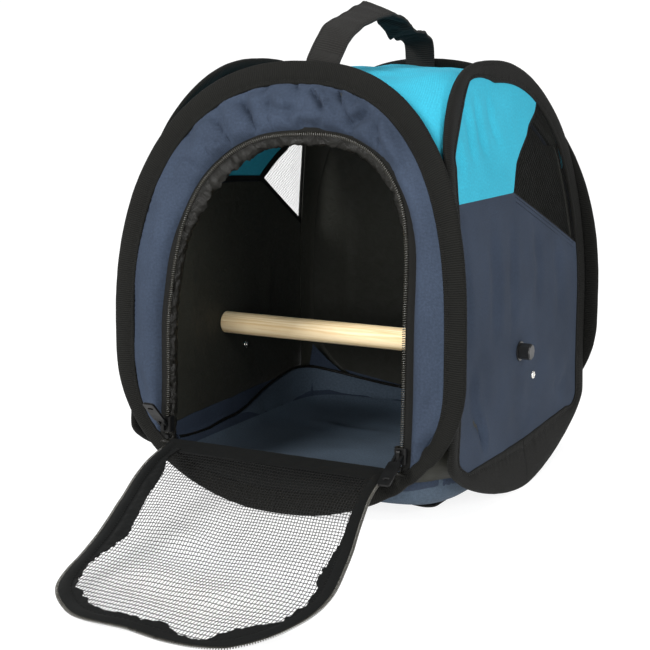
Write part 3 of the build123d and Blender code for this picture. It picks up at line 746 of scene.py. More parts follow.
# ================================================================ spare eyelets in the side walls
def eyelets():
    v, f = [], []
    n = 40
    prof = [(1.0, -4.7), (1.0, 0.5), (1.3, 0.95), (1.9, 1.15), (2.5, 1.0), (2.9, 0.55), (3.0, 0.1), (2.9, -0.1), (1.7, -0.3), (1.7, -4.2), (2.7, -4.4), (2.8, -4.8), (2.3, -5.3), (1.6, -5.3)]
    for side in (-1, 1):
        base = len(v)
        for i in range(n):
            a = TAU * i / n
            for r, h in prof:
                v.append((side * (124.6 + h), 20 + r * math.cos(a), 78 + r * math.sin(a)))
        k = len(prof)
        for i in range(n):
            for j in range(k):
                q = (base + i * k + j, base + ((i + 1) % n) * k + j, base + ((i + 1) % n) * k + (j + 1) % k, base + i * k + (j + 1) % k)
                f.append(q if side > 0 else q[::-1])
    nodes_v = np.array(v)
    o = mesh("wall_eyelets", nodes_v, f, M["nickel"], sharp=None, stands_for="spare_eyelets")
    return o


eyelets()


# ================================================================ stitches
def stitches(name, line, normal, size=2.4, gap=0.9, r=0.22, body="shell", material=None, closed=False):
    """A row of sewing stitches lying on a surface: line and normal are matching lists of points and directions."""
    line, normal = np.asarray(line, float), np.asarray(normal, float)
    if closed:
        line, normal = np.r_[line, line[:1]], np.r_[normal, normal[:1]]
    d = np.r_[0, np.cumsum(np.linalg.norm(np.diff(line, axis=0), axis=1))]
    count = max(1, int(d[-1] / (size + gap)))
    v, f = [], []
    for i in range(count):
        s0 = (i + 0.12) * d[-1] / count
        s1 = s0 + size
        at = [np.array([np.interp(s, d, line[:, k]) for k in range(3)]) for s in (s0, (s0 + s1) / 2, min(s1, d[-1]))]
        nn = np.array([np.interp((s0 + s1) / 2, d, normal[:, k]) for k in range(3)])
        nn /= np.linalg.norm(nn)
        t = at[2] - at[0]
        if np.linalg.norm(t) < 1e-6:
            continue
        t /= np.linalg.norm(t)
        b = np.cross(nn, t)
        base = len(v)
        for p, rr, h in ((at[0], 0.45 * r, -0.1 * r), (at[1], r, 0.75 * r), (at[2], 0.45 * r, -0.1 * r)):
            for a in range(6):
                c, s = math.cos(TAU * a / 6), math.sin(TAU * a / 6)
                v.append(p + nn * (h + rr * s * 0.8) + b * rr * c)
        for k in range(2):
            for a in range(6):
                p0, p1 = base + 6 * k + a, base + 6 * k + (a + 1) % 6
                f.append((p0, p1, p1 + 6, p0 + 6))
        f.append(tuple(base + a for a in range(5, -1, -1)))
        f.append(tuple(base + 12 + a for a in range(6)))
    return mesh(name, np.array(v), f, material or M["thread"], sharp=None, body=body)


# ================================================================ hoop bindings
def binding(name, kind, side):
    rings = 620 if kind == "front" else 640
    outer, inner = np.roll(hoop_outline(kind, 0, rings), rings // 2, 0), np.roll(hoop_outline(kind, BAND, rings), rings // 2, 0)
    # pair each outer point with the nearest inner one, kept in order
    ids = np.array([np.linalg.norm(inner - p, axis=1).argmin() for p in outer])
    ids = np.unwrap(ids * TAU / rings) * rings / TAU
    k = np.ones(31) / 31
    ids = np.convolve(np.r_[ids[-15:] - rings * (ids[-15:] > ids[:15].max() + rings / 2), ids, ids[:15] + rings], k, "valid")
    closed = np.r_[inner, inner[:1]]
    mod = ids % rings
    inner = np.stack([np.interp(mod, np.arange(rings + 1), closed[:, c]) for c in range(2)], 1)
    d = length_of(outer, True)
    s = np.arange(rings) / rings * d
    # profile: distance in from the outer edge, and half thickness; a tube on the hoop, then a flat tail that is sewn down
    prof = [(0.0, 0.0), (0.25, 0.95), (0.9, 1.65), (2.0, 2.15), (3.6, 2.45), (5.4, 2.5), (7.4, 2.3), (9.4, 1.95), (11.2, 1.6), (12.3, 1.12), (12.9, 1.02), (13.5, 1.22), (14.6, 1.3), (15.5, 1.05), (16.0, 0.0)]
    loop = [(a, h) for a, h in prof] + [(a, -h) for a, h in prof[-2:0:-1]]
    m = len(loop)
    seed = dict(front=1, back=2, left=3, right=4)[name]
    ring3 = np.c_[outer[:, 0], outer[:, 1], np.full(rings, seed * 90.0)]
    sway = noise3(ring3, 45, seed) * 0.45
    edge = noise3(ring3, 9, seed + 5) * 0.28
    puck = noise3(np.c_[outer[:, 0], outer[:, 1], s * 0 + seed], 4.6, seed)
    P = np.zeros((rings, m, 3))
    UV = np.zeros((rings, m, 2))
    run = np.r_[0, np.cumsum([math.dist(loop[i], loop[i + 1]) for i in range(m - 1)])]
    for j, (a, h) in enumerate(loop):
        f = a / BAND
        c = outer * (1 - f) + inner * f
        sewn = math.exp(-((a - 12.9) / 2.6) ** 2)
        tube = math.exp(-((a - 5) / 5.0) ** 2)
        hh = h * (1 + 0.10 * puck * sewn) + math.copysign(1, h) * (0.14 * puck * sewn * (abs(h) > 0)) + sway * 0.25 * tube * np.sign(h)
        shift = (sway + edge) * (0.35 if a < 8 else 0.15) * (1 if 0 < a < 16 or a == 0 else 1)
        if name == "front":
            # the binding is creased where the hoop bends under at the bottom right
            near = np.exp(-((outer[:, 0] - 113) ** 2 + (outer[:, 1] - 34) ** 2) / 26 ** 2)
            kink = noise3(np.c_[outer[:, 0], outer[:, 1], np.full(rings, a * 0.35)], 8.5, 97)
            hh = hh + np.sign(h) * near * 1.1 * kink * tube
            shift = shift + near * 2.3 * kink * (1 if a > 4 else 0.5)
        dirs = inner - outer
        dirs /= np.linalg.norm(dirs, axis=1)[:, None]
        c = c + dirs * shift[:, None]
        P[:, j] = place(kind, side, c[:, 0], c[:, 1], hh)
        UV[:, j] = np.c_[s, np.full(rings, run[j])]
    P[..., 2] = np.maximum(P[..., 2], 0.05)
    v = P.reshape(-1, 3)
    faces = grid_faces(rings, m, True, True)
    if (side < 0) == (kind == "front"):
        faces = [f[::-1] for f in faces]
    uv = UV.reshape(-1, 2)
    o = mesh(f"{name}_ribbed_binding", v, faces, M["tape"], uv, sharp=None, stands_for=(f"{name}_binding",))
    # the spring strip inside it
    a, b = hoop_outline(kind, 2.9, rings), hoop_outline(kind, 4.3, rings)
    ring = [place(kind, side, c[:, 0], c[:, 1], np.full(rings, h)) for c, h in ((a, 0.25), (b, 0.25), (b, -0.25), (a, -0.25))]
    sv = np.stack(ring, 1)
    sv[..., 2] = np.maximum(sv[..., 2], 0.6)
    sf = grid_faces(rings, 4, True, True)
    mesh(f"{name}_spring_strip", sv.reshape(-1, 3), sf if (side < 0) != (kind == "front") else [f[::-1] for f in sf], M["steel"], None, sharp=30, stands_for=f"{name}_hoop")
    # the row of stitches that closes the binding, on both faces
    for label, h in (("outside", 1.06), ("inside", -1.06)):
        f = 12.9 / BAND
        c = outer * (1 - f) + inner * f
        line = place(kind, side, c[:, 0], c[:, 1], np.full(rings, h))
        mid = place(kind, side, c[:, 0], c[:, 1], np.zeros(rings))
        line[:, 2] = np.maximum(line[:, 2], 0.3)
        n = line - mid
        n /= np.maximum(np.linalg.norm(n, axis=1), 1e-9)[:, None]
        stitches(f"{name}_binding_stitches_{label}", line, n, size=2.6, gap=1.0, r=0.24, material=M["dark_thread"], closed=True)
    return o


M["dark_thread"] = yarn("black_thread", (0.0040, 0.0040, 0.0036))
for name, kind, side in (("front", "front", -1), ("back", "front", 1), ("left", "side", -1), ("right", "side", 1)):
    binding(name, kind, side)


# ================================================================ front panel with its gathers
TAPE = 6.0


def opening_edge(count, bottom):
    """Edge of the front panel round the zip: close to the teeth over the top, further out on the right side."""
    near, far = arch(2.2, count, bottom), arch(6.4, count, bottom)
    x, z = near[:, 0], near[:, 1]
    w = np.where(x > 0, smooth((x - 40) / 45) * smooth((236 - z) / 60), 0.95 * smooth((-x - 62) / 26) * smooth((212 - z) / 50))
    return near + (far - near) * w[:, None]


front_rim = hoop_outline("front", BAND - 3.5, 500)


def above(outline, z):
    return split(outline, [(-400, z), (400, z)])[0]


def ring_between(outer, inner_line):
    """Closed outline of an arch-shaped panel: outer run, then back along the inner arch."""
    z0 = inner_line[0, 1]
    up = above(outer, z0)
    # start at the right end of the cut and go over the top to the left end
    i = int(np.lexsort((-up[:, 0], np.abs(up[:, 1] - z0)))[0])
    right = int(np.argmax(np.where(np.abs(up[:, 1] - z0) < 1e-6, up[:, 0], -1e9)))
    up = np.roll(up, -right, 0)
    if up[1, 1] < up[0, 1] + 1e-6:
        up = np.roll(up[::-1], 1, 0)
    up = np.array([p for k, p in enumerate(up) if not (abs(p[1] - z0) < 1e-6 and 0 < k < len(up) - 1)])
    return np.r_[up, inner_line]


def front_panel():
    inner = opening_edge(260, SILL_Z)
    poly = ring_between(front_rim, inner)
    p2, tri, rim = fill(poly, 2.0, 1.9)
    band_in = hoop_outline("front", BAND, 500)
    da, db = distance(inner, p2), distance(band_in, p2, True) * np.where(inside(band_in, p2), 1, 0)
    w = da / np.maximum(da + db, 1e-6)
    h = 5.2 * np.sin(math.pi * np.clip(w, 0, 1) ** 0.72) ** 0.85 * smooth((p2[:, 1] - 30) / 40)
    h -= 1.4 * np.exp(-da / 3.0)
    top = smooth((p2[:, 1] - 205) / 50)
    ang = np.arctan2(p2[:, 0], p2[:, 1] - 130)
    # gathers that run from the zip towards the band over the arch
    gather = 0.0
    for k, (a0, wd, ht, reach) in enumerate([(-0.62, 0.035, 0.9, 0.5), (-0.47, 0.04, 1.1, 0.6), (-0.33, 0.03, 0.8, 0.55), (-0.2, 0.035, 1.2, 0.65), (-0.08, 0.03, 1.0, 0.6), (0.03, 0.035, 1.2, 0.7), (0.16, 0.03, 1.1, 0.7), (0.27, 0.03, 1.3, 0.75), (0.39, 0.035, 1.1, 0.65), (0.52, 0.035, 0.9, 0.6), (0.68, 0.04, 0.8, 0.5)]):
        gather = gather + ht * np.exp(-((ang - a0 - 0.04 * np.sin(w * 5 + k)) / wd) ** 2) * smooth(1 - w / reach) * smooth(da / 3)
    h += gather * top
    f = [
        ([(-5, 295), (-2, 289), (0, 284)], 1.9, -2.4, 0.5),
        ([(5, 290), (9, 287), (15, 282), (21, 276), (27, 269)], 2.3, -3.6, 0.7),
        ([(24, 296), (29, 290), (32, 284), (35, 277)], 2.0, -3.8, 0.6),
        ([(-23, 286), (-21, 280), (-17, 274), (-8, 271), (1, 273), (9, 275)], 3.6, -2.6, 0.7),
        ([(-20, 291), (-12, 289), (-5, 289)], 3.0, 1.6, 0.3),
        ([(1, 261), (9, 264), (18, 263), (27, 266)], 3.0, -2.6, 0.5),
        ([(36, 262), (46, 266), (54, 272), (58, 279)], 4.4, -3.0, 0.7),
        ([(44, 265), (54, 270), (64, 268)], 3.6, -1.8, 0.4),
        ([(72, 272), (82, 263), (90, 254), (96, 246)], 4.0, -2.4, 0.5),
        ([(88, 263), (97, 249), (104, 238), (109, 226)], 3.6, -2.0, 0.5),
        ([(-66, 275), (-60, 269), (-55, 262), (-54, 255)], 4.5, -2.0, 0.5),
        ([(-40, 287), (-40, 278), (-35, 271), (-28, 266)], 4.5, -2.2, 0.5),
        ([(57, 261), (68, 250), (76, 240), (82, 229)], 4.4, -2.2, 0.5),
        ([(-26, 293), (-25, 287), (-27, 281)], 2.4, -1.8, 0.5),
        ([(40, 290), (46, 282), (43, 271)], 3.2, -1.8, 0.5),
        ([(-86, 262), (-80, 252), (-76, 240)], 5.0, -1.6, 0.4),
        ([(102, 205), (108, 175), (110, 140)], 6.0, -1.3, 0.3),
        ([(-114, 222), (-109, 192), (-107, 160)], 7.0, -1.2, 0.3),
        ([(-118, 96), (-111, 76), (-101, 58)], 5.0, -1.8, 0.4),
        ([(-123, 150), (-118, 128), (-116, 104)], 6.0, -1.0, 0.3),
        ([(114, 98), (109, 78), (103, 60)], 4.5, -1.7, 0.4),
        ([(118, 70), (110, 58), (100, 50)], 4.0, -1.5, 0.4),
    ]
    for pts, wd, ht, sd in f:
        h = h + fold(p2, pts, wd, ht * (1.5 if pts[0][1] > 225 else 1.3), sd)
    q = np.c_[p2[:, 0], p2[:, 1], np.zeros(len(p2))]
    free = smooth(db / 8) * smooth(da / 5)
    h = h + (0.8 * noise3(q, 34, 1) + 0.3 * noise3(q, 13, 2)) * free
    # crumples that run out from the arch: puffed cloth between sharp creases
    for scale, seed, puff, crease in ((30, 6, 3.2, 2.6), (17, 7, 1.6, 1.3)):
        rn = noise3(np.c_[ang * 125 + 9 * w, w * 17 + ang * 12, np.zeros(len(p2))], scale, seed)
        h = h + top * free * (puff * np.abs(rn) - crease * np.exp(-(rn / 0.10) ** 2))
    h = h + 0.9 * noise3(q * [1.0, 1.0, 1.0], 22, 4) * free * top + 0.35 * noise3(q, 10, 5) * free * top
    room = np.clip(db, 0, None)
    h = np.clip(h, -0.4 - 1.6 * room, 0.3 + 1.3 * room)
    P = place("front", -1, p2[:, 0], p2[:, 1], h)
    pins = np.clip(1 - 1.15 * smooth(db / 9) * smooth(da / 6), 0, 1)
    pins[rim] = 1
    P = relax_cloth(P, tri, pins, 0.030 * top + 0.004, frames=22, bend=0.25)
    v, fc, uv = thicken(P, tri, 0.7, p2)
    o = mesh("front_panel_cloth", v, fc, M["navy"], uv, stands_for="front_panel")
    declare(P, tri)
    return P, tri


front_panel()


# ================================================================ back panel
def wall_sheet(name, kind, side, poly, material, offset, thick=0.6, step=4.0, bulge=0.0, wrinkle=0.6, seed=1, grow=0.006, sim=True, stands_for=(), folds=(), calm=(), uv_turn=False, edge=None, bend=0.3):
    p2, tri, rim = fill(poly, step, edge or step * 0.8)
    d = distance(evenly(poly, 400), p2, True)
    free = smooth(d / 14)
    for y, z, r in calm:
        free = free * smooth((np.hypot(p2[:, 0] - y, p2[:, 1] - z) - r) / 22)
    q = np.c_[p2[:, 0], p2[:, 1], np.full(len(p2), seed * 50.0)]
    h = np.full(len(p2), float(offset)) + bulge * smooth(d / 60) * (free if len(calm) else 1)
    h = h + wrinkle * (0.7 * noise3(q, 46, seed) + 0.3 * noise3(q, 17, seed + 9)) * free
    for pts, wd, ht, sd in folds:
        h = h + 1.45 * fold(p2, pts, wd, ht, sd) * (free ** 0.5 if len(calm) else smooth(d / 4))
    P = place(kind, side, p2[:, 0], p2[:, 1], h)
    if sim:
        pins = np.clip(1 - 1.1 * free, 0, 1)
        pins[rim] = 1
        P = relax_cloth(P, tri, pins, grow, frames=16, bend=bend)
    flip = (kind == "front" and side > 0) or (kind == "side" and side < 0)
    faces = tri[:, ::-1] if flip else tri
    if kind == "front":
        pass
    v, fc, uv = thicken(P, faces, thick, p2[:, ::-1] if uv_turn else p2)
    o = mesh(name, v, fc, material, uv, stands_for=stands_for)
    declare(P, faces)
    return P


back_poly = hoop_outline("front", BAND - 3.5, 420)
wall_sheet("back_panel_cloth", "front", 1, back_poly, M["navy"], 0.0, 0.7, 4.2, bulge=2.5, wrinkle=1.1, seed=3, stands_for="back_panel",
           folds=[([(-60, 280), (-56, 240), (-52, 190)], 7, -1.5, 0.3), ([(70, 276), (62, 232), (60, 180)], 8, -1.4, 0.3), ([(-96, 70), (-50, 46), (10, 40)], 7, -1.5, 0.3), ([(20, 285), (16, 262), (8, 240)], 5, -1.3, 0.4), ([(100, 110), (84, 70), (60, 48)], 7, -1.2, 0.3)])
low = split(hoop_outline("front", BAND + 1.5, 420), [(-400, 62), (-128, 45), (-34, 30), (34, 30), (128, 45), (400, 62)])[0]
# the back wall's lining uses the darker copy of the black lining: painted shade
wall_sheet("back_lining_cloth", "front", 1, low, M["back_lining"], -2.4, 0.5, 6.0, bulge=-1.5, wrinkle=0.7, seed=5, sim=False, stands_for="back_lining",
           folds=[([(-85, 280), (-84, 180), (-86, 50)], 3.0, -1.3, 0.4), ([(70, 270), (66, 150), (72, 50)], 4.0, -1.0, 0.3)])

# ================================================================ side walls
SEAMS = dict(right=[(-400, 215.6), (-8, 214), (400, 50.7)], left=[(-400, 215.6), (-8, 214.5), (39, 211), (104, 174), (400, 5)])
WINDOWS = dict(
    right=[(-9.5, 211.0), (-8, 214), (-4, 220), (0, 226), (6, 234), (18, 242), (36, 252), (44, 259), (63, 268), (100, 300), (140, 335)],
    left=[(38, 208), (39, 211), (45, 216), (53, 222), (62, 228), (73, 234), (84, 243), (96, 256), (140, 300)])
NET_U, NET_V = 2.1, 3.9
WIN_U, WIN_V = 1.9, 2.6


def net(name, points, cells, to3d, wire_u, wire_v, thick, material, stands_for, body="shell", slot="black_mesh", jitter=0.06, seed=1, weave=0.12):
    """An open net: a grid of square cells with rounded yarn between them. points are the crossings by (i, j), cells the set of (i, j) that are open."""
    nodes = sorted({(i + a, j + b) for i, j in cells for a in (0, 1) for b in (0, 1)})
    index = {}
    v2, lift = [], []
    rng = np.random.default_rng(seed)
    for c in nodes:
        x, y = points(*c)
        index[c] = len(v2)
        x, y = x + rng.normal(0, jitter), y + rng.normal(0, jitter)
        over = weave if (c[0] + c[1]) % 2 else -weave
        for sx, sy in ((-1, -1), (1, -1), (1, 1), (-1, 1)):
            v2.append((x + sx * wire_u / 2, y + sy * wire_v / 2))
            lift.append(over)
    v2, lift = np.array(v2), np.array(lift)
    have = set(nodes)
    open_cell = set(cells)
    top = []
    for (i, j), k in index.items():
        top.append((k, k + 1, k + 2, k + 3))
        if (i + 1, j) in have and ((i, j) in open_cell or (i, j - 1) in open_cell):
            r = index[(i + 1, j)]
            top.append((k + 1, r, r + 3, k + 2))
        if (i, j + 1) in have and ((i, j) in open_cell or (i - 1, j) in open_cell):
            u = index[(i, j + 1)]
            top.append((k + 3, k + 2, u + 1, u))
    P = to3d(v2[:, 0], v2[:, 1], lift)
    return P, top, v2


def window(side):
    name = "right" if side > 0 else "left"
    rim_poly = hoop_outline("side", BAND - 2.5, 500)
    upper_all = split(rim_poly, SEAMS[name])[0]
    a, b = split(upper_all, WINDOWS[name])
    turq, win = (a, b) if a[:, 0].mean() < b[:, 0].mean() else (b, a)
    low_poly = split(rim_poly, SEAMS[name])[1]
    return low_poly, turq, win


for name, side in (("left", -1), ("right", 1)):
    low_poly, turq_poly, win_poly = window(side)
    rim_poly_for_tape = hoop_outline("side", BAND - 1.0, 500)
    lower_folds = [
        ([(-60, 205), (-58, 160), (-64, 100)], 8.0, -1.6, 0.4), ([(-20, 206), (-26, 150), (-22, 96)], 7.0, -1.1, 0.3),
        ([(26, 196), (30, 160), (22, 120)], 7.0, -1.2, 0.3), ([(64, 180), (72, 140), (70, 100)], 9.0, -1.5, 0.3),
        ([(-92, 70), (-80, 60), (-70, 38)], 3.4, -2.2, 0.5), ([(-100, 110), (-94, 80), (-82, 50)], 6.0, -1.4, 0.4),
        ([(-30, 60), (0, 50), (34, 48)], 8.0, -1.2, 0.3), ([(60, 66), (80, 58), (98, 60)], 6.0, -1.2, 0.3), ([(-112, 190), (-106, 150), (-104, 110)], 6, -1.2, 0.3),
    ]
    wall_sheet(f"{name}_lower_cloth", "side", side, low_poly, M["navy"], 0.0, 0.7, 3.4, bulge=1.2, wrinkle=1.2, seed=11 + side, grow=0.010,
               stands_for=f"{name}_lower_panel", folds=lower_folds, calm=[(-9, 101, 9), (20, 78, 5)])
    wall_sheet(f"{name}_upper_cloth", "side", side, turq_poly, M["turquoise"], 0.0, 0.7, 3.2, bulge=-1.0, wrinkle=1.0, seed=15 + side, grow=0.008,
               stands_for=f"{name}_upper_panel",
               folds=[([(-70, 288), (-66, 262), (-70, 232)], 5, -1.5, 0.4), ([(-44, 290), (-48, 262), (-44, 236)], 5, -1.4, 0.4), ([(-20, 288), (-24, 266), (-16, 244)], 5, -1.2, 0.3), ([(-96, 262), (-92, 246), (-96, 228)], 5, -1.2, 0.3)])
    # window net, laid out as a grid of cells
    wc, ws = math.cos(math.radians(32)), math.sin(math.radians(32))
    middle = win_poly.mean(0)

    def grid_point(i, j, wc=wc, ws=ws, middle=middle):
        return middle[0] + i * WIN_U * wc - j * WIN_V * ws, middle[1] + i * WIN_U * ws + j * WIN_V * wc
    reach = int(95 / WIN_U)
    gi, gj = np.meshgrid(np.arange(-reach, reach), np.arange(-reach, reach), indexing="ij")
    c = np.stack(grid_point(gi.ravel() + 0.5, gj.ravel() + 0.5), 1)
    ok = inside(win_poly, c) | (distance(win_poly, c, True) < 1.2)
    cells = list(zip(gi.ravel()[ok].tolist(), gj.ravel()[ok].tolist()))
    def onto(u, z, lift, side=side):
        q = np.c_[u, z, np.full(len(u), 5.0)]
        return place("side", side, u, z, lift - 1.2 * smooth(distance(evenly(win_poly, 200), np.c_[u, z], True) / 30) + 0.5 * noise3(q, 30, 3))
    P, top, v2 = net(f"{name}_net", grid_point, cells, onto, 0.17, 0.17, 0.35, M["net"], f"{name}_window_mesh", jitter=0.05, seed=21 + side, weave=0.05)
    faces = [f[::-1] for f in top] if side < 0 else top
    v, fc, _ = thicken(P, faces, 0.13)
    o = mesh(f"{name}_window_net", v, fc, M["net"], sharp=None, stands_for=f"{name}_window_mesh")
    # lining behind the lower panel
    lin = hoop_outline("side", BAND + 1.5, 420, 0.5, True)
    lin = split(lin, [(y, z - 2.5) for y, z in SEAMS[name]])[1]
    lin = split(lin, [(-400, 16), (-79, 14), (-46, 13), (7, 15), (52, 28), (111, 38), (400, 50)])[0]
    wall_sheet(f"{name}_lining_cloth", "side", side, lin, M["lining"], -2.3, 0.5, 6.0, bulge=-1.0, wrinkle=0.6, seed=25 + side, sim=False,
               stands_for=f"{name}_lining", calm=[(-9, 101, 9), (20, 78, 5)],
               folds=[([(-60, 200), (-58, 120), (-50, 40)], 6, -1.0, 0.3), ([(60, 170), (56, 110), (64, 50)], 6, -1.0, 0.3)])
    # the edge of the net and of the upper panel is bound in black tape on the inside
    for label, path, w in (("window", WINDOWS[name], 3.2), ("seam", SEAMS[name], 2.0)):
        line = evenly([q for q in path if abs(q[0]) < 300] if label == "window" else path, 500, closed=False)
        line = line[inside(rim_poly_for_tape, line)]
        d = np.gradient(line, axis=0)
        d /= np.linalg.norm(d, axis=1)[:, None]
        nn = np.c_[-d[:, 1], d[:, 0]]
        G = np.stack([place("side", side, *(line + nn * a)[:, :2].T, np.full(len(line), -0.9 - 0.25 * (1 - (a / w) ** 2))) for a in np.linspace(-w, w, 6)], 1)
        ff = grid_faces(len(line), 6)
        uvt = np.c_[np.repeat(np.arange(len(line)) * length_of(line) / len(line), 6), np.tile(np.linspace(-w, w, 6), len(line))]
        v, fc, uv = thicken(G.reshape(-1, 3), ff, 0.6, uvt)
        mesh(f"{name}_{label}_inner_tape", v, fc, M["ziptape"], uv)
    # seams: topstitching under the window edge and under the turquoise
    for k, down in enumerate((2.2, 5.6)):
        path = np.array(SEAMS[name])
        y = np.linspace(path[-3 if name == "left" else -2][0] + 2, 108, 90)
        z = np.interp(y, path[:, 0], path[:, 1]) - down
        keep = inside(hoop_outline("side", BAND + 0.5, 300), np.c_[y, z])
        y, z = y[keep], z[keep]
        a, b = place("side", side, y, z, np.full(len(y), 0.45)), place("side", side, y, z, np.zeros(len(y)))
        stitches(f"{name}_window_seam_stitches_{k + 1}", a, (a - b) / np.linalg.norm(a - b, axis=1)[:, None], size=2.3, gap=0.9, r=0.3)


# ================================================================ roof
def roof():
    n = 44
    corner = np.array([109.0, 117.5, 222.0])

    def curve(kind):
        src = hoop_outline(kind, 5.5, 900)
        lim = corner[0] if kind == "front" else corner[1]
        h = src[(src[:, 1] > corner[2] - 1) & (np.abs(src[:, 0]) < lim)]
        h = h[np.argsort(h[:, 0])]
        return evenly(h, n + 1, closed=False)
    fr, sd = curve("front"), curve("side")
    G = np.zeros((n + 1, n + 1, 3))
    t = np.abs(2 * np.arange(n + 1) / n - 1) ** 6
    fx = np.c_[fr[:, 0], lean_front(fr[:, 1]) - 3.4, fr[:, 1]]
    fx = fx * (1 - t[:, None]) + t[:, None] * np.c_[np.sign(fr[:, 0]) * corner[0], np.full(n + 1, corner[1]), np.full(n + 1, corner[2])]
    sy = np.c_[lean_side(sd[:, 1]) - 3.4, sd[:, 0], sd[:, 1]]
    sy = sy * (1 - t[:, None]) + t[:, None] * np.c_[np.full(n + 1, corner[0]), np.sign(sd[:, 0]) * corner[1], np.full(n + 1, corner[2])]
    bx = fx.copy()
    bx[:, 2] -= 8.0 * (1 - t)
    G[:, 0], G[:, n] = fx * [1, -1, 1], bx
    sl = sy * [-1, 1, 1]
    sl[:, 2] -= 7.5 * (1 - t)
    G[0, :], G[n, :] = sl, sy
    s = (np.arange(n + 1) / n)[:, None, None]
    q = (np.arange(n + 1) / n)[None, :, None]
    C = (1 - s) * G[0][None] + s * G[n][None] + (1 - q) * G[:, 0][:, None] + q * G[:, n][:, None] - ((1 - s) * (1 - q) * G[0, 0] + s * (1 - q) * G[n, 0] + (1 - s) * q * G[0, n] + s * q * G[n, n])
    C[0], C[n], C[:, 0], C[:, n] = G[0], G[n], G[:, 0], G[:, n]
    coons = C[..., 2].copy()
    for _ in range(3000):
        C[1:-1, 1:-1, 2] = 0.25 * (C[:-2, 1:-1, 2] + C[2:, 1:-1, 2] + C[1:-1, :-2, 2] + C[1:-1, 2:, 2])
    C[..., 2] += 0.19 * (coons - C[..., 2]) * smooth((C[..., 0] + 112) / 80)
    C[..., 2] = np.minimum(C[..., 2], 303.4 - 1.4 * np.abs(np.sin(C[..., 1] / 31 + C[..., 0] / 47)))
    P = C.reshape(-1, 3)
    e = np.minimum.outer(np.minimum(np.arange(n + 1), n - np.arange(n + 1)), np.full(n + 1, 99))
    e = np.minimum(e, e.T).astype(float).reshape(-1)
    free = smooth(e / 6)
    p2 = P[:, :2].copy()
    h = (1.9 * noise3(np.c_[p2[:, 0] * 0.8, p2[:, 1], p2[:, 0] * 0], 38, 31) + 0.8 * noise3(np.c_[p2, p2[:, :1] * 0], 15, 32)) * free
    for pts, wd, ht, sdv in [([(-60, -96), (-30, -60), (10, -40)], 8, -1.8, 0.4), ([(20, -100), (40, -70), (70, -50)], 7, -1.8, 0.4), ([(80, -90), (84, -50), (86, 0)], 6, -1.6, 0.4), ([(-84, -80), (-82, -30), (-86, 30)], 6, -1.6, 0.4), ([(-40, 96), (-20, 60), (20, 44)], 8, -1.8, 0.4), ([(60, 90), (50, 60), (60, 20)], 8, -1.6, 0.4)]:
        h = h + fold(p2, pts, wd, ht, sdv) * free
    P = P + np.c_[np.zeros(len(P)), np.zeros(len(P)), h]
    faces = grid_faces(n + 1, n + 1)
    tri = np.array([t for f in faces for t in ((f[0], f[1], f[2]), (f[0], f[2], f[3]))])
    pins = np.clip(1 - 1.1 * free, 0, 1)
    P = relax_cloth(P, tri, pins, 0.006, frames=14, bend=0.3)
    uv = np.c_[np.repeat(np.arange(n + 1), n + 1) * 236.0 / n, np.tile(np.arange(n + 1), n + 1) * 250.0 / n]
    v, fc, uv2 = thicken(P, faces, 0.7, uv)
    o = mesh("roof_cloth", v, fc, M["turquoise"], uv2, stands_for="roof_panel")
    declare(P, faces)
    # each corner is lined in black
    G = P.reshape(n + 1, n + 1, 3)
    N = normals_of(P, faces).reshape(n + 1, n + 1, 3)
    k = 13
    for label, si, sj in (("front_left", 1, 1), ("front_right", -1, 1), ("back_left", 1, -1), ("back_right", -1, -1)):
        a, b = G[::si, ::sj][:k, :k], N[::si, ::sj][:k, :k]
        C = (a - b * 1.6).reshape(-1, 3)
        keep = [(i * k + j, (i + 1) * k + j, (i + 1) * k + j + 1, i * k + j + 1) for i in range(k - 1) for j in range(k - 1) if i + j < k]
        if si * sj < 0:
            keep = [q[::-1] for q in keep]
        used = sorted({x for q in keep for x in q})
        at = {x: m for m, x in enumerate(used)}
        C = C[used]
        v, fc, uv3 = thicken(C, [tuple(at[x] for x in q) for q in keep], 0.5, C[:, :2])
        mesh(f"roof_corner_lining_{label}", v, fc, M["lining"], uv3)


roof()


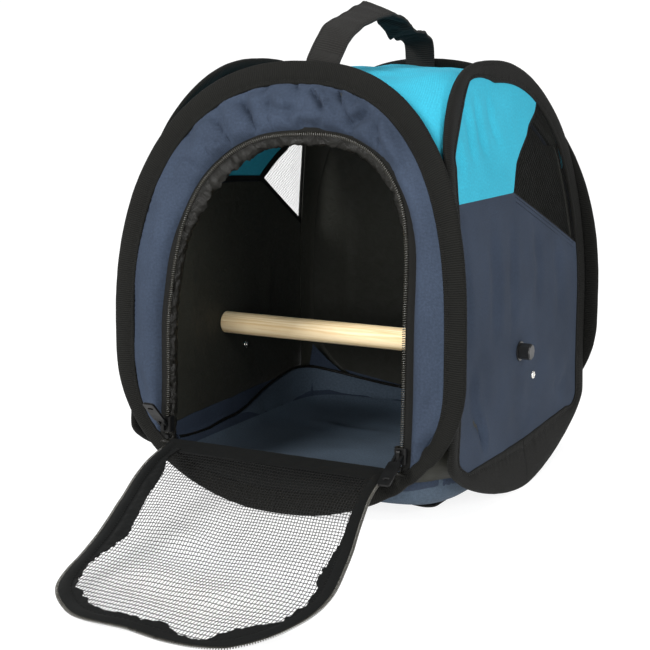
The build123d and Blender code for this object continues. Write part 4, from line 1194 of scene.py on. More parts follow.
# ================================================================ base tray
def base():
    sect = np.array([(0.25, 56, 66, 40), (0.6, 66, 76, 42), (3.2, 80, 90, 48), (9.0, 96, 106, 54), (17.0, 114, 125, 50), (26.0, 120.2, 131.2, 44), (50, 121.0, 131.6, 42), (97.0, 121.4, 131.9, 36)])
    def size(z):
        return [np.interp(z, sect[:, 0], sect[:, k]) for k in (1, 2, 3)]
    def rounded(x, y, r, a):
        """Point of a rounded rectangle in direction a, as a superellipse-like blend."""
        k = 2 + 7.0 * np.clip(1 - r / np.maximum(np.minimum(x, y), 1e-6), 0, 1) ** 1.2
        c, s = np.cos(a), np.sin(a)
        q = (np.abs(c / x) ** k + np.abs(s / y) ** k) ** (-1 / k)
        return q * c, q * s
    n = 240
    ang = np.arange(n) / n * TAU
    lowf, lows = hoop_outline("front", BAND + 2.5, 500), hoop_outline("side", BAND + 2.5, 500)
    def under(line, u, limit):
        h = line[line[:, 1] < limit + 20]
        h = h[np.argsort(h[:, 0])]
        return np.where(np.abs(u) >= h[:, 0].max() - 0.5, limit, np.interp(u, h[:, 0], h[:, 1]))
    wx, wy = rounded(121.2, 131.7, 42, ang)
    top = np.minimum(np.minimum(under(lowf, wx, 96.0), under(lows, wy, 96.0)), 96.0)
    rows = 26
    rings = []
    for k in range(rows):
        f = (k / (rows - 1)) ** 1.25
        z = 0.25 + (top - 0.25) * f
        x, y, r = size(z)
        px, py = rounded(x, y, r, ang)
        rings.append(np.c_[px, py, z])
    R = np.array(rings)
    # the floor of the tray: rings that shrink to the middle
    inner = []
    for f in (0.0, 0.12, 0.25, 0.4, 0.55, 0.7, 0.84):
        x, y = rounded(56 * f + 1e-3, 66 * f + 1e-3, (40 * f + 1e-4), ang) if f > 0 else (np.zeros(n), np.zeros(n))
        inner.append(np.c_[x, y, np.full(n, 0.25)])
    allr = np.concatenate([np.array(inner[1:]), R])
    m = len(allr)
    P = allr.reshape(-1, 3)
    q = P.copy()
    h = (0.8 * noise3(q, 40, 41) + 0.4 * noise3(q, 16, 42)) * smooth((P[:, 2] - 3) / 14) * smooth((np.repeat([0.0] * 6 + list(range(rows)), n) * 0 + 1))
    out = np.c_[P[:, 0] / 120, P[:, 1] / 130, np.zeros(len(P))]
    out /= np.maximum(np.linalg.norm(out, axis=1), 1e-6)[:, None]
    P = P - out * np.abs(h)[:, None]
    centre = len(P)
    P = np.r_[P, [[0, 0, 0.25]]]
    faces = []
    for i in range(m - 1):
        for j in range(n):
            a, b = i * n + j, i * n + (j + 1) % n
            faces.append((a, a + n, b + n, b))
    faces += [(centre, j, (j + 1) % n) for j in range(n)]
    faces = [f[::-1] for f in faces]
    faces = [f for f in faces]
    uv = P[:, :2] + np.c_[np.sign(P[:, 0]), np.sign(P[:, 1])] * P[:, 2:3] * 0.7
    nrm = normals_of(P, faces)
    if nrm[centre, 2] > 0:
        faces = [f[::-1] for f in faces]
    v, fc, uv2 = thicken(P, faces, 0.5, uv)
    v[:, 2] = np.maximum(v[:, 2], 0.0)
    o = mesh("base_cloth", v, fc, M["navy"], uv2, stands_for="bottom_panel")
    declare(P, faces)


base()


def floor_pad():
    t = np.arange(200) / 200 * TAU
    k = 7.0
    c, s = np.cos(t), np.sin(t)
    q = (np.abs(c / 110) ** k + np.abs(s / 121) ** k) ** (-1 / k)
    poly = np.c_[q * c, q * s]
    p2, tri, rim = fill(poly, 4.0, 3.0)
    d = distance(poly, p2, True)
    up = 10.4 + 9.0 * np.exp(-d / 9.0)
    e3 = np.c_[p2, np.zeros(len(p2))]
    h = (0.9 * noise3(e3, 52, 51) + 0.35 * noise3(e3, 20, 52)) * smooth(d / 12)
    for pts, wd, ht, sdv in [([(-96, -96), (-60, -60), (-20, -52)], 7, 1.6, 0.4), ([(90, -100), (60, -72), (40, -40)], 7, 1.4, 0.4), ([(-90, 60), (-40, 44), (10, 50)], 8, 1.4, 0.4), ([(-30, -118), (-18, -90), (-22, -60)], 5, 1.2, 0.4), ([(40, -116), (30, -96), (34, -70)], 5, 1.2, 0.4)]:
        h = h + fold(p2, pts, wd, ht, sdv)
    P = np.c_[p2, up + h]
    v, fc, uv = thicken(P, tri, 2.0, p2)
    # the floor pad uses the lightened floor navy: painted light
    o = mesh("floor_pad_cloth", v, fc, M["floor"], uv, stands_for="floor_pad")
    declare(P, tri)


floor_pad()


def corners():
    """Black strips that join the linings down the four upright corners inside."""
    for label, fy, fx in (("front_left", -1, -1), ("front_right", -1, 1), ("back_left", 1, -1), ("back_right", 1, 1)):
        z = np.linspace(30, 240, 60)
        a = hoop_outline("front", BAND + 2.0, 1200)
        b = hoop_outline("side", BAND + 2.0, 1200, 0.5, True)
        a = a[a[:, 0] > 0]
        a = a[np.argsort(a[:, 1])]
        b = b[b[:, 0] * fy > 0] * [fy, 1]
        b = b[np.argsort(b[:, 1])]
        u, w = np.interp(z, a[:, 1], a[:, 0]), np.interp(z, b[:, 1], b[:, 0])
        A = place("front", fy, u * fx, z, np.full(60, -3.4))
        B = place("side", fx, w * fy, z, np.full(60, -3.4))
        m = 9
        G = np.zeros((60, m, 3))
        mid = (A + B) / 2
        corner = np.c_[B[:, 0], A[:, 1], z]
        for j in range(m):
            t = j / (m - 1)
            c = corner * 0.55 + mid * 0.45
            G[:, j] = A * (1 - t) ** 2 + 2 * t * (1 - t) * c + B * t * t
        q = G.reshape(-1, 3)
        q = q + (0.5 * noise3(q, 22, 61))[:, None] * np.array([fx, fy, 0]) * -0.7
        faces = grid_faces(60, m)
        nr = normals_of(q, faces)
        if (nr * np.array([-fx, -fy, 0])).sum() < 0:
            faces = [f_[::-1] for f_ in faces]
        v, fc, uv = thicken(q, faces, 0.5, np.c_[np.tile(np.arange(m) * 3.0, 60), q[:, 2]])
        mesh(f"corner_lining_{label}", v, fc, M["lining"], uv)


corners()


def tray():
    n, rows = 260, 9
    ang = np.arange(n) / n * TAU
    c, si = np.cos(ang), np.sin(ang)

    def ring(x, y, k):
        q = (np.abs(c / x) ** k + np.abs(si / y) ** k) ** (-1 / k)
        return q * c, q * si
    x1, y1 = ring(118.6, 129.0, 7.0)
    side_z = np.interp(y1, [-129, -110, -79, -46, 7, 52, 111, 129], [36, 30, 24, 22, 25, 38, 48, 50])
    back_z = np.interp(np.abs(x1), [0, 34, 86, 118], [28, 30, 36, 44])
    front_z = np.full(n, 34.0)
    wside = smooth((np.abs(x1) / 118.6 - 0.90) / 0.09)
    top = wside * side_z + (1 - wside) * np.where(y1 > 0, back_z, front_z)
    top = top + 0.9 * noise3(np.c_[x1, y1, x1 * 0], 22, 45)
    kern = np.ones(9) / 9
    top = np.convolve(np.r_[top[-4:], top, top[:4]], kern, "valid")
    x0, y0 = ring(108.0, 119.0, 7.0)
    R = []
    for k in range(rows):
        f = k / (rows - 1)
        g = 1 - (1 - f) ** 2
        z = 10.2 + (top - 10.2) * f ** 1.3
        wave = 0.7 * noise3(np.c_[x1, y1, z * 2], 24, 46) * math.sin(math.pi * f)
        x, y = x0 + (x1 - x0) * g, y0 + (y1 - y0) * g
        R.append(np.c_[x * (1 - 0.012 * abs(wave)), y * (1 - 0.012 * abs(wave)), z])
    P = np.concatenate(R)
    faces = [(i * n + j, (i + 1) * n + j, (i + 1) * n + (j + 1) % n, i * n + (j + 1) % n) for i in range(rows - 1) for j in range(n)]
    uv = np.c_[np.tile(ang * 118, rows), P[:, 2]]
    v, fc, uv2 = thicken(P, faces, 0.6, uv)
    # the tray walls use the lightened floor navy: painted light
    o = mesh("tray_wall_cloth", v, fc, M["floor"], uv2)
    a = area_of(P, faces) * 1e-6
    declare(P, faces, flat=(a / 0.86, 0.86))
    m = 8
    th = np.arange(m) / m * TAU
    out = np.c_[x1, y1, 0 * x1] / np.hypot(x1, y1)[:, None]
    T = R[-1]
    V = np.stack([T + out * (-1.0 + 1.25 * math.cos(t)) + np.array([0, 0, 0.3 + 1.25 * math.sin(t)]) for t in th], 1)
    V += (0.28 * noise3(V.reshape(-1, 3), 6, 47)).reshape(n, m)[..., None] * out[:, None]
    f = grid_faces(n, m, True, True)
    mesh("tray_hem", V.reshape(-1, 3), [q[::-1] for q in f], M["hem"], np.c_[np.repeat(ang * 118, m), np.tile(th, n)], sharp=None)


tray()


# ================================================================ sill, front lining and its crumpled hem round the opening
def sill():
    poly = split(hoop_outline("front", BAND - 3.5, 420), [(-400, SILL_Z), (400, SILL_Z)])[1]
    p2, tri, rim = fill(poly, 3.2, 2.6)
    q = np.c_[p2, np.zeros(len(p2))]
    d = distance(poly, p2, True)
    h = -0.6 + (0.9 * noise3(q * [0.5, 1, 1], 16, 61)) * smooth(d / 5)
    P = place("front", -1, p2[:, 0], p2[:, 1], h)
    v, fc, uv = thicken(P, tri, 0.8, p2)
    o = mesh("sill_cloth", v, fc, M["border"], uv, stands_for="sill_strip")
    declare(P, tri)
    # the rolled hem along its top
    n, m = 150, 10
    x = np.linspace(-96, 96, n)
    a = np.arange(m) / m * TAU
    wob = noise3(np.c_[x, x * 0, x * 0], 14, 62)
    P = np.zeros((n, m, 3))
    for j in range(m):
        r = 1.5 + 0.18 * noise3(np.c_[x, np.full(n, j * 1.0), x * 0], 5, 63)
        y0 = lean_front(SILL_Z)
        P[:, j] = np.c_[x, -y0 - 0.2 + r * 1.1 * math.cos(a[j]) + 0.3 * wob, SILL_Z - 0.4 + r * math.sin(a[j]) + 0.5 * wob]
    v = P.reshape(-1, 3)
    f = grid_faces(n, m, False, True)
    f += [tuple(range(m))[::-1], tuple((n - 1) * m + k for k in range(m))]
    uv = np.c_[np.repeat(x, m), np.tile(np.arange(m), n)]
    mesh("sill_hem", v, [g[::-1] for g in f], M["hem"], uv, sharp=None)


sill()


def front_lining():
    inner = arch(9.0, 220, SILL_Z + 0.5)
    poly = ring_between(hoop_outline("front", BAND + 1.5, 420), inner)
    p2, tri, rim = fill(poly, 4.5, 3.5)
    q = np.c_[p2, np.zeros(len(p2))]
    P = place("front", -1, p2[:, 0], p2[:, 1], -2.6 - np.abs(0.8 * noise3(q, 14, 71)))
    v, fc, uv = thicken(P, tri, 0.5, p2)
    o = mesh("front_lining_cloth", v, fc, M["lining"], uv, stands_for="front_lining")
    a = area_of(P, tri) * 1e-6
    declare(P, tri, flat=(a / 0.62, 0.62))
    # crumpled hem: it stands inside the teeth all round the opening
    n, m = 420, 15
    line = arch(0.0, n, SILL_Z + 1)
    d = np.gradient(line, axis=0)
    d /= np.linalg.norm(d, axis=1)[:, None]
    nin = np.c_[d[:, 1], -d[:, 0]]
    s = np.arange(n) * length_of(line) / (n - 1)
    prof = np.array([(5.0, -1.9), (3.2, -1.7), (1.2, -1.8), (-0.8, -2.1), (-2.6, -2.5), (-4.4, -3.0), (-5.8, -3.7), (-6.8, -4.7), (-7.2, -5.9), (-6.8, -7.1), (-5.6, -8.0), (-4.0, -8.6), (-2.0, -9.0), (0.6, -9.2), (3.4, -9.2)])
    px, pz = line[:, 0], line[:, 1]
    reach = np.where(px > 0, 0.12 + 0.88 * smooth((pz - 165) / 60), 0.45 + 0.55 * smooth((pz - 170) / 60) + 0.35 * smooth((pz - 175) / 30) * smooth((-px - 20) / 30))
    P = np.zeros((n, m, 3))
    for j, (a, o_) in enumerate(prof):
        k = smooth(np.full(n, min(j, m - 1 - j) / 3.0))
        q = np.c_[s, np.full(n, a * 1.4), np.full(n, o_ * 1.4)]
        c1 = noise3(q * [0.8, 1, 1], 6.5, 72) * k
        c2 = noise3(q, 2.6, 73) * k
        aa = np.where(a < 0, a * reach, a) + (1.7 * np.abs(c1) + 0.6 * c2) * (0.35 + 0.65 * reach)
        oo = o_ - 1.2 * np.abs(c1) + 0.5 * c2
        pt = line - nin * aa[:, None]
        P[:, j] = place("front", -1, pt[:, 0], pt[:, 1], np.minimum(oo, -1.5))
    faces = grid_faces(n, m)
    Pf = P.reshape(-1, 3)
    uv = np.c_[np.repeat(s, m), np.tile(np.r_[0, np.cumsum(np.linalg.norm(np.diff(prof, axis=0), axis=1))], n)]
    nr = normals_of(Pf, faces)
    v, fc, uv2 = thicken(Pf, faces, 0.5, uv)
    o = mesh("front_lining_hem", v, fc, M["hem"], uv2)
    declare(Pf, faces, flat=(sum(np.linalg.norm(np.diff(prof, axis=0), axis=1)) * 0.001 * 1.15, length_of(line) * 0.001 * 1.1))


front_lining()


# ================================================================ zip
def tape_strip(name, line_fn, a0, a1, out, material, body="shell", thick=0.5, stands_for=(), n=300, bottom=40.0):
    m = 6
    P = np.zeros((n, m, 3))
    for j in range(m):
        a = a0 + (a1 - a0) * j / (m - 1)
        pt = arch(a, n, bottom)
        P[:, j] = place("front", -1, pt[:, 0], pt[:, 1], np.full(n, out(a)))
    s = np.arange(n) * length_of(arch(a0, n, bottom)) / (n - 1)
    uv = np.c_[np.repeat(s, m), np.tile(np.linspace(0, a1 - a0, m), n)]
    faces = grid_faces(n, m)
    v, fc, uv2 = thicken(P.reshape(-1, 3), faces, thick, uv)
    o = mesh(name, v, fc, material, uv2, body=body, stands_for=stands_for)
    return o, P.reshape(-1, 3), faces


o, P, f = tape_strip("opening_zip_tape_cloth", arch, 0.4, TAPE + 4.6, lambda a: -0.5 - 0.9 * min(1, max(0, a - 3.5) / 3), M["ziptape"], stands_for="opening_zip_tape")
declare(P, f, flat=(0.0106, 0.61))


def teeth(name, line, nrm, inward, pitch=1.5, size=(0.8, 2.7, 1.1), body="shell", stands_for=(), lean=0.0):
    """A row of coil turns: small rounded blocks, each set a little askew like a wound coil."""
    d = np.r_[0, np.cumsum(np.linalg.norm(np.diff(line, axis=0), axis=1))]
    count = int(d[-1] / pitch)
    v, f = [], []
    for i in range(count):
        s = (i + 0.5) * d[-1] / count
        g = lambda arr: np.array([np.interp(s, d, arr[:, k]) for k in range(3)])
        c, nn, ii = g(line), g(nrm), g(inward)
        nn /= np.linalg.norm(nn)
        t = np.array([np.interp(min(s + 0.5, d[-1]), d, line[:, k]) for k in range(3)]) - np.array([np.interp(max(s - 0.5, 0), d, line[:, k]) for k in range(3)])
        t /= np.linalg.norm(t)
        ii = np.cross(nn, t) * np.sign(np.dot(np.cross(nn, t), ii))
        tt = t + 0.18 * ii
        base = len(v)
        w, l, h = size
        # a turn: hexagonal section swept over three stations across the chain, humped
        for a, rise, k in ((-0.5, -0.15, 0.75), (-0.18, 0.10, 1.0), (0.18, 0.12, 1.0), (0.5, -0.10, 0.8)):
            for q in range(6):
                cc, ss = math.cos(TAU * q / 6), math.sin(TAU * q / 6)
                v.append(c + ii * a * l + t * (0.18 * a * l + cc * w * 0.5 * k) + nn * (rise * h + ss * h * 0.5 * k))
        for st in range(3):
            for q in range(6):
                p0, p1 = base + 6 * st + q, base + 6 * st + (q + 1) % 6
                f.append((p0, p1, p1 + 6, p0 + 6))
        f.append(tuple(base + q for q in range(5, -1, -1)))
        f.append(tuple(base + 18 + q for q in range(6)))
    return mesh(name, np.array(v), f, M["coil"], sharp=None, body=body, stands_for=stands_for)


ln = arch(-0.2, 400, 43.5)
d2 = np.gradient(ln, axis=0)
d2 /= np.linalg.norm(d2, axis=1)[:, None]
a3 = place("front", -1, ln[:, 0], ln[:, 1], np.full(len(ln), 0.55))
b3 = place("front", -1, ln[:, 0], ln[:, 1], np.full(len(ln), -0.75))
ln_in = ln + np.c_[d2[:, 1], -d2[:, 0]]
c3 = place("front", -1, ln_in[:, 0], ln_in[:, 1], np.full(len(ln), 0.55))
teeth("opening_zip_coil", a3, a3 - b3, c3 - a3, stands_for="opening_zip_teeth")
# points along the line where the panel meets the zip tape; no stitches are made from them
for k, off in enumerate((TAPE + 1.6,)):
    ls = arch(off, 300, SILL_Z + 6)
    a = place("front", -1, ls[:, 0], ls[:, 1], np.full(len(ls), 0.2))
    b = place("front", -1, ls[:, 0], ls[:, 1], np.full(len(ls), -0.8))


# ================================================================ door
ALONG = np.array([0.0, -math.cos(SLOPE), -math.sin(SLOPE)])
UPN = np.array([0.0, -math.sin(SLOPE), math.cos(SLOPE)])
DOOR_EDGE = [(-85.5, 3), (-86.2, 15), (-86.5, 32), (-86.3, 60), (-86, 95), (-85, 136), (-83.5, 165), (-80.5, 187), (-75, 204), (-66, 217), (-54, 227), (-43, 233.5), (-31, 236.5), (-18, 236.2), (-6, 236), (6, 236.8), (24, 238.5), (39, 238), (53, 233.5), (65, 225), (74, 213.5), (80, 201), (84, 187), (86, 170), (86.8, 144), (87, 100), (87, 61), (86.6, 39), (86.2, 20), (85.5, 3)]
NET_EDGE = [(-70, 12), (-73, 27), (-68.5, 52), (-67, 96), (-66.5, 134), (-70.5, 153), (-71, 182), (-65, 199), (-55, 209), (-43, 218.5), (-31, 222.5), (-14, 223), (0, 222.5), (13, 223.5), (26, 228), (37, 230), (45, 224), (52, 213), (62, 204), (71, 193), (74, 180), (74, 164), (73, 143), (75, 122), (77.5, 98), (78.5, 61), (77.5, 40), (76, 25), (74, 12)]


def rounded_line(points, count):
    """A smooth line through 2-D points."""
    p = np.asarray(points, float)
    q = np.r_[[2 * p[0] - p[1]], p, [2 * p[-1] - p[-2]]]
    out = []
    t = np.linspace(0, 1, 12, endpoint=False)[:, None]
    for a, b, c, d in zip(q[:-3], q[1:-2], q[2:-1], q[3:]):
        out.append(0.5 * ((2 * b) + (c - a) * t + (2 * a - 5 * b + 4 * c - d) * t * t + (3 * b - a - 3 * c + d) * t ** 3))
    return evenly(np.r_[np.concatenate(out), [p[-1]]], count, closed=False)


def door_outline(inside_mm, count=320, start=0.0):
    p = rounded_line(DOOR_EDGE, 700)
    d = np.gradient(p, axis=0)
    d /= np.linalg.norm(d, axis=1)[:, None]
    p = p + np.c_[d[:, 1], -d[:, 0]] * inside_mm
    return evenly(p[p[:, 1] >= start], count, closed=False)


def door_lift(x, s):
    """How far the soft door stands off its flat plane."""
    q = np.c_[x, s, np.zeros(len(x))]
    h = 1.6 * noise3(q, 70, 81) + 0.5 * noise3(q, 24, 82)
    h = h + 1.8 * np.exp(-(((x + 72) / 26) ** 2 + ((s - 200) / 30) ** 2))
    h = h + fold(np.c_[x, s], [(-60, 160), (-20, 175), (20, 182), (60, 170)], 12, 1.8, 0.6)
    h = h + fold(np.c_[x, s], [(-70, 90), (-40, 120), (0, 140)], 12, 1.4, 0.5)
    return h * smooth(s / 40)


def on_door(x, s, out):
    """Points of the open door: x across, s out from the hinge, out above it. It lies skewed to the right."""
    x, s = np.asarray(x, float), np.asarray(s, float)
    t = np.clip(s / SHIFT_END, 0, 1)
    sh = SHIFT * t * t * (3 - 2 * t)
    lift = door_lift(x, s) + out
    p = HINGE[None] + np.c_[x + sh, np.zeros(len(x)), np.zeros(len(x))] + s[:, None] * ALONG[None] + lift[:, None] * UPN[None]
    floor = 0.45 + np.maximum(0, out)
    low = p[:, 2] < floor
    p[low, 2] = floor[low] if np.ndim(floor) else floor
    return p


def door_blend(o):
    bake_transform(o)
    return o


def door():
    outer = door_outline(1.4, 420, 3.0)
    # inner ragged edge
    base = rounded_line(NET_EDGE, 900)
    d = np.gradient(base, axis=0)
    d /= np.linalg.norm(d, axis=1)[:, None]
    nin = np.c_[d[:, 1], -d[:, 0]]
    q = np.c_[base, np.zeros(len(base))]
    rag = np.clip(smooth((base[:, 1] - 112) / 30), 0, 1)
    w = 0.8 * noise3(q, 26, 91) + rag * (1.5 * noise3(q, 9.0, 92) + 1.3 * noise3(q, 3.6, 93)) + 0.35 * noise3(q, 3.0, 94)
    inner = base + nin * w[:, None]
    # the ring of the border: outer edge, then back along the ragged inner edge
    poly = np.r_[outer, inner[::-1]]
    top_l, top_r = outer[0], outer[-1]
    ring = np.r_[outer, inner[::-1]]
    p2, tri, rim = fill(ring, 2.2, 1.3)
    do = distance(outer, p2)
    dc = distance(inner, p2)
    h = 0.35 * np.sin(np.clip(do / 7.5, 0, 1) * math.pi) * 2.2 - 0.5 * np.exp(-((do - 8.2) / 0.9) ** 2)
    q = np.c_[p2, np.zeros(len(p2))]
    h = h + 0.8 * np.abs(noise3(q, 7, 95)) * smooth((do - 8) / 3) + 0.4 * noise3(q, 3.4, 96) * smooth((do - 8) / 3)
    P = on_door(p2[:, 0], p2[:, 1], 0.9 + h)
    v, fc, uv = thicken(P, tri[:, ::-1], 0.9, np.c_[p2[:, 1], p2[:, 0]])
    v[:, 2] = np.maximum(v[:, 2], 0.05)
    border = mesh("door_border_tape", v, fc, M["border"], uv, body=None, stands_for="door_border")
    door_blend(border)
    # net
    inner_poly = np.r_[inner, [[inner[0, 0], 12.0]]]
    cover = door_outline(4.0, 200, 5.0)
    rag_in = np.r_[inner]
    lo, hi = np.array([-90.0, 0.0]), np.array([90.0, 240.0])
    gi, gj = np.meshgrid(np.arange(int(lo[0] / NET_U) - 1, int(hi[0] / NET_U) + 2), np.arange(1, int(hi[1] / NET_V) + 2), indexing="ij")
    c = np.c_[(gi.ravel() + 0.5) * NET_U, (gj.ravel() + 0.5) * NET_V]
    region = np.r_[[[inner[0, 0], 4.0]], inner, [[inner[-1, 0], 4.0]]]
    ok = inside(region, c) | (distance(region, c, True) < 3.0)
    ok &= inside(cover, c)
    cells = list(zip(gi.ravel()[ok].tolist(), gj.ravel()[ok].tolist()))
    def gp(i, j):
        return i * NET_U + 0.5 * math.sin(j * 0.31), j * NET_V + 0.8 * math.sin(i * 0.07)
    P, top, v2 = net("door_net", gp, cells, lambda x, s, lift: on_door(x, s, 0.25 + lift), 0.34, 0.41, 0.34, M["net"], "door_mesh", seed=7)
    v, fc, _ = thicken(P, [f[::-1] for f in top], 0.26)
    v[:, 2] = np.maximum(v[:, 2], 0.03)
    o = mesh("door_net", v, fc, M["net"], sharp=None, body=None, stands_for="door_mesh")
    door_blend(o)
    a = area_of(v, fc) / 2 * 1e-6
    # the door's own half of the zip, on the edge
    e = door_outline(0.6, 420, 5.0)
    a3 = on_door(e[:, 0], e[:, 1], 1.0)
    b3 = on_door(e[:, 0], e[:, 1], 0.0)
    e2 = door_outline(1.6, 420, 5.0)
    c3 = on_door(e2[:, 0], e2[:, 1], 1.0)
    t = teeth("door_zip_coil", a3, a3 - b3, c3 - a3, size=(1.0, 2.3, 1.0), body=None, stands_for="door_zip_teeth")
    door_blend(t)
    # stitches along the border's inner fold
    st = door_outline(8.4, 300, 14.0)
    a = on_door(st[:, 0], st[:, 1], 1.55)
    b = on_door(st[:, 0], st[:, 1], 0.0)
    s_ = stitches("door_border_stitches", a, (a - b) / np.linalg.norm(a - b, axis=1)[:, None], size=2.4, gap=1.0, r=0.22, body=None, material=M["dark_thread"])
    door_blend(s_)
    # hem along the hinge, sewn over the sill
    n, m = 120, 9
    xx = np.linspace(-86, 86, n)
    cross = [(-1.5, 1.9), (0.2, 2.1), (2.0, 1.7), (4.5, 1.3), (7.5, 1.2), (11.0, 1.1), (15.0, 1.0)]
    G = np.zeros((n, len(cross), 3))
    for j, (s0, up) in enumerate(cross):
        wv = noise3(np.c_[xx, np.full(n, s0 * 2), xx * 0], 9, 97)
        G[:, j] = HINGE[None] + np.c_[xx, np.zeros(n), np.zeros(n)] + (s0 + 0.3 * wv)[:, None] * ALONG[None] + (up + 0.25 * wv)[:, None] * UPN[None]
        if j:
            sh = np.clip(s0 / SHIFT_END, 0, 1)
            G[:, j, 0] += SHIFT * sh * sh * (3 - 2 * sh)
    faces = grid_faces(n, len(cross))
    Pf = G.reshape(-1, 3)
    uv = np.c_[np.repeat(xx, len(cross)), np.tile([c[0] for c in cross], n)]
    v, fc, uv2 = thicken(Pf, faces, 0.8, uv)
    hem = mesh("door_hem_tape", v, fc, M["border"], uv2, body=None, stands_for="door_hem")
    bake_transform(hem)
    declare(Pf, faces)
    strip = area_of(on_door(p2[:, 0], p2[:, 1], 0 * p2[:, 0]), tri) * 1e-6


door()


# ================================================================ handle
HANDLE_A = [(0.9, -102.6, 294.6), (0.8, -101.2, 300.5), (0.7, -100.2, 306.4), (0.1, -93, 313.7), (-1, -81.8, 322.4), (-2.2, -68.8, 331), (-4.3, -45.5, 336.4), (-6.5, -21.5, 342.1), (-8.6, -1, 346.6), (-9.2, 6.6, 348.1), (-10, 15, 345), (-11.2, 29, 337.6), (-12.1, 40.9, 331.8), (-13.1, 52.5, 327.4), (-13.8, 60.5, 323.0), (-14.5, 67.5, 321.5), (-15.1, 75.3, 321.4), (-16.2, 86, 321), (-16.7, 93, 319.6), (-17.1, 97.1, 315), (-17.3, 98.9, 306), (-17.3, 99.8, 300.5), (-17.3, 100.8, 294.6)]
HANDLE_B = [(24.7, -100.0, 294.6), (24.5, -98.8, 300), (24.2, -97.3, 304.5), (23.5, -89.8, 312.1), (22.6, -80.3, 319.6), (20.8, -60.8, 327.5), (18.3, -32.4, 334.4), (16.3, -10.6, 337.1), (14.4, 10.8, 339.6), (13.1, 25, 338.2), (11.9, 38.3, 334.6), (10.8, 51, 329.6), (10, 60, 327.9), (9, 72, 327.2), (7.9, 84.7, 324.2), (7.0, 94.5, 321.2), (6.8, 98.4, 316), (6.7, 99.7, 308), (6.6, 100.3, 301), (6.5, 101.6, 294.6)]


def handle():
    def curve(points, n):
        p = np.asarray(points, float)
        q = np.r_[[2 * p[0] - p[1]], p, [2 * p[-1] - p[-2]]]
        out = []
        t = np.linspace(0, 1, 14, endpoint=False)[:, None]
        for a, b, c, d in zip(q[:-3], q[1:-2], q[2:-1], q[3:]):
            out.append(0.5 * ((2 * b) + (c - a) * t + (2 * a - 5 * b + 4 * c - d) * t * t + (3 * b - a - 3 * c + d) * t ** 3))
        c = evenly(np.r_[np.concatenate(out), [p[-1]]], n, closed=False)
        for _ in range(4):
            c[1:-1] = 0.25 * c[:-2] + 0.5 * c[1:-1] + 0.25 * c[2:]
        return c
    n, m = 300, 17
    # pair the two edges by how far back they are, so that the weave runs straight across
    A, B = curve(HANDLE_A, 1200), curve(HANDLE_B, 1200)

    def along(c):
        d = np.r_[0, np.cumsum(np.linalg.norm(np.diff(c, axis=0), axis=1))]
        y0, y1 = -93.0, 93.0
        i0, i1 = int(np.argmax(c[:, 1] > y0)), int(np.argmax(c[:, 1] > y1))
        u = np.empty(len(c))
        u[:i0] = 0.12 * d[:i0] / d[i0]
        u[i0:i1] = 0.12 + 0.76 * (c[i0:i1, 1] - y0) / (y1 - y0)
        u[i1:] = 0.88 + 0.12 * (d[i1:] - d[i1]) / (d[-1] - d[i1])
        return np.maximum.accumulate(u + np.arange(len(c)) * 1e-9)
    ua, ub = along(A), along(B)
    t = np.linspace(0, 1, n)
    A = np.stack([np.interp(t, ua, A[:, k]) for k in range(3)], 1)
    B = np.stack([np.interp(t, ub, B[:, k]) for k in range(3)], 1)
    tang = np.gradient((A + B) / 2, axis=0)
    tang /= np.linalg.norm(tang, axis=1)[:, None]
    W = B - A
    N = np.cross(tang, W)
    N /= np.linalg.norm(N, axis=1)[:, None]
    N *= np.sign((N * np.c_[np.zeros(n), (A + B)[:, 1] / 2 * 0.6, np.full(n, 60.0)]).sum(1))[:, None]
    across = np.linspace(0, 1, m)
    q = np.c_[t * 300, t * 0, t * 0]
    G = np.zeros((n, m, 3))
    mid = smooth((t - 0.06) / 0.1) * smooth((0.95 - t) / 0.08)
    back = smooth((t - 0.50) / 0.08) * smooth((0.93 - t) / 0.06)
    for j, a in enumerate(across):
        e = 2 * a - 1
        lift = mid * (0.5 * noise3(q + [0, a * 20, 0], 16, 55) - 0.9 * e * e)
        lift = lift + back * (1.9 * np.exp(-((t - 0.655 - 0.035 * e) / 0.014) ** 2) - 1.5 * np.exp(-((t - 0.715 + 0.03 * e) / 0.013) ** 2) + 1.5 * np.exp(-((t - 0.80 - 0.02 * e) / 0.014) ** 2) - 1.1 * np.exp(-((t - 0.60 + 0.02 * e) / 0.012) ** 2) + 0.5 * noise3(q + [0, a * 24, 9], 7, 56))
        G[:, j] = A + W * a + N * lift[:, None]
    P = G.reshape(-1, 3)
    faces = grid_faces(n, m)
    L = length_of((A + B) / 2)
    uv = np.c_[np.repeat(t * L, m), np.tile(across * 24, n)]
    nr = normals_of(P, faces)
    if (nr * np.repeat(N, m, axis=0)).sum() < 0:
        faces = [f[::-1] for f in faces]
        nr = -nr
    v, fc, uv2 = thicken(P, faces, 1.7, uv)
    o = mesh("handle_webbing", v, fc, M["web"], uv2, stands_for="handle")
    declare(P, faces, flat=(0.025, area_of(P, faces) * 1e-6 / 0.0245))
    nr = nr.reshape(n, m, 3)
    for k, j in enumerate((1, m - 2)):
        stitches(f"handle_edge_stitches_{k + 1}", G[:, j] + nr[:, j] * 0.86, nr[:, j], size=2.6, gap=1.1, r=0.22, material=M["dark_thread"])


handle()


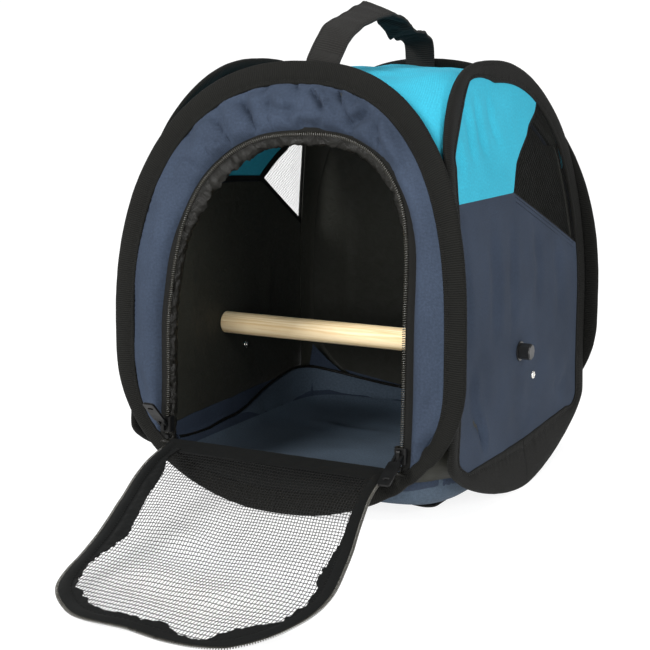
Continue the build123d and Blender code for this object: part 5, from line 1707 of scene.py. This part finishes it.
# ================================================================ elastic loop under the base
def storage_loop():
    pts = np.array([(72, 2.6), (79, 1.5), (88, 1.2), (95, 2.5), (99, 5.3), (101, 9.2)])
    n, m = 60, 7
    c = evenly(pts, n, closed=False)
    for _ in range(20):
        c[1:-1] = (c[:-2] + c[2:]) / 2
    yy = np.linspace(-88, -68, m)
    G = np.zeros((n, m, 3))
    for j in range(m):
        G[:, j] = np.c_[c[:, 0], np.full(n, yy[j]), c[:, 1]]
    P = G.reshape(-1, 3)
    faces = grid_faces(n, m)
    uv = np.c_[np.repeat(np.linspace(0, 36, n), m), np.tile(yy, n)]
    v, fc, uv2 = thicken(P, faces, 1.2, uv)
    v[:, 2] = np.maximum(v[:, 2], 0.02)
    o = mesh("storage_loop_webbing", v, fc, M["web"], uv2, stands_for="storage_loop")
    declare(P, faces)


storage_loop()


# ================================================================ floor and light
def stage():
    n, m = 96, 26
    rings = []
    for k in range(m):
        f = k / (m - 1)
        if f < 0.55:
            r, z = 3.6 * (f / 0.55), -0.0002
        else:
            a = (f - 0.55) / 0.45 * math.pi / 2
            r, z = 3.6 + 1.6 * math.sin(a), 1.6 * (1 - math.cos(a))
        rings.append((r, z))
    v = [(0, 0, -0.0002)]
    for r, z in rings[1:]:
        for i in range(n):
            v.append((r * math.cos(TAU * i / n), r * math.sin(TAU * i / n), z))
    f = [(0, 1 + i, 1 + (i + 1) % n) for i in range(n)]
    for k in range(m - 2):
        for i in range(n):
            a, b = 1 + k * n + i, 1 + k * n + (i + 1) % n
            f.append((a, a + n, b + n, b))
    me = bpy.data.meshes.new("studio_floor")
    me.from_pydata(v, [], f)
    me.polygons.foreach_set("use_smooth", [True] * len(f))
    k = Nodes("studio_paper")
    k.set(Base_Color=k.ramp(k.noise(k.object(), 3.0), [(0.3, (0.27, 0.27, 0.27)), (0.7, (0.29, 0.29, 0.29))]))
    k.b.inputs["Roughness"].default_value = 0.9
    k.b.inputs["Specular IOR Level"].default_value = 0.1
    k.b.inputs["Emission Color"].default_value = (1, 1, 1, 1)
    k.b.inputs["Emission Strength"].default_value = 0.85
    me.materials.append(k.m)
    o = bpy.data.objects.new("studio_floor", me)
    scene.collection.objects.link(o)


stage()


def light(name, where, at, size, power, colour=(1, 1, 1)):
    d = bpy.data.lights.new(name, "AREA")
    d.shape = "RECTANGLE"
    d.size, d.size_y = size
    d.energy = power
    d.color = colour
    o = bpy.data.objects.new(name, d)
    scene.collection.objects.link(o)
    o.location = where
    o.rotation_euler = (Vector(at) - Vector(where)).to_track_quat("-Z", "Y").to_euler()
    return o


light("key", (-0.95, -2.25, 1.75), (0, 0, 0.12), (0.9, 0.9), 94)
light("front", (0.45, -2.75, 0.62), (0, 0, 0.12), (0.8, 0.8), 32)
light("top", (0.3, 0.5, 2.7), (0, 0, 0.1), (1.6, 1.6), 16)
light("side", (2.4, -1.3, 1.3), (0, 0, 0.15), (1.1, 1.1), 46)
world = bpy.data.worlds.new("studio")
scene.world = world
world.use_nodes = True
bg = world.node_tree.nodes["Background"]
bg.inputs[0].default_value = (1, 1, 1, 1)
bg.inputs[1].default_value = 0.35
scene.view_settings.view_transform = "Standard"
scene.view_settings.look = "None"
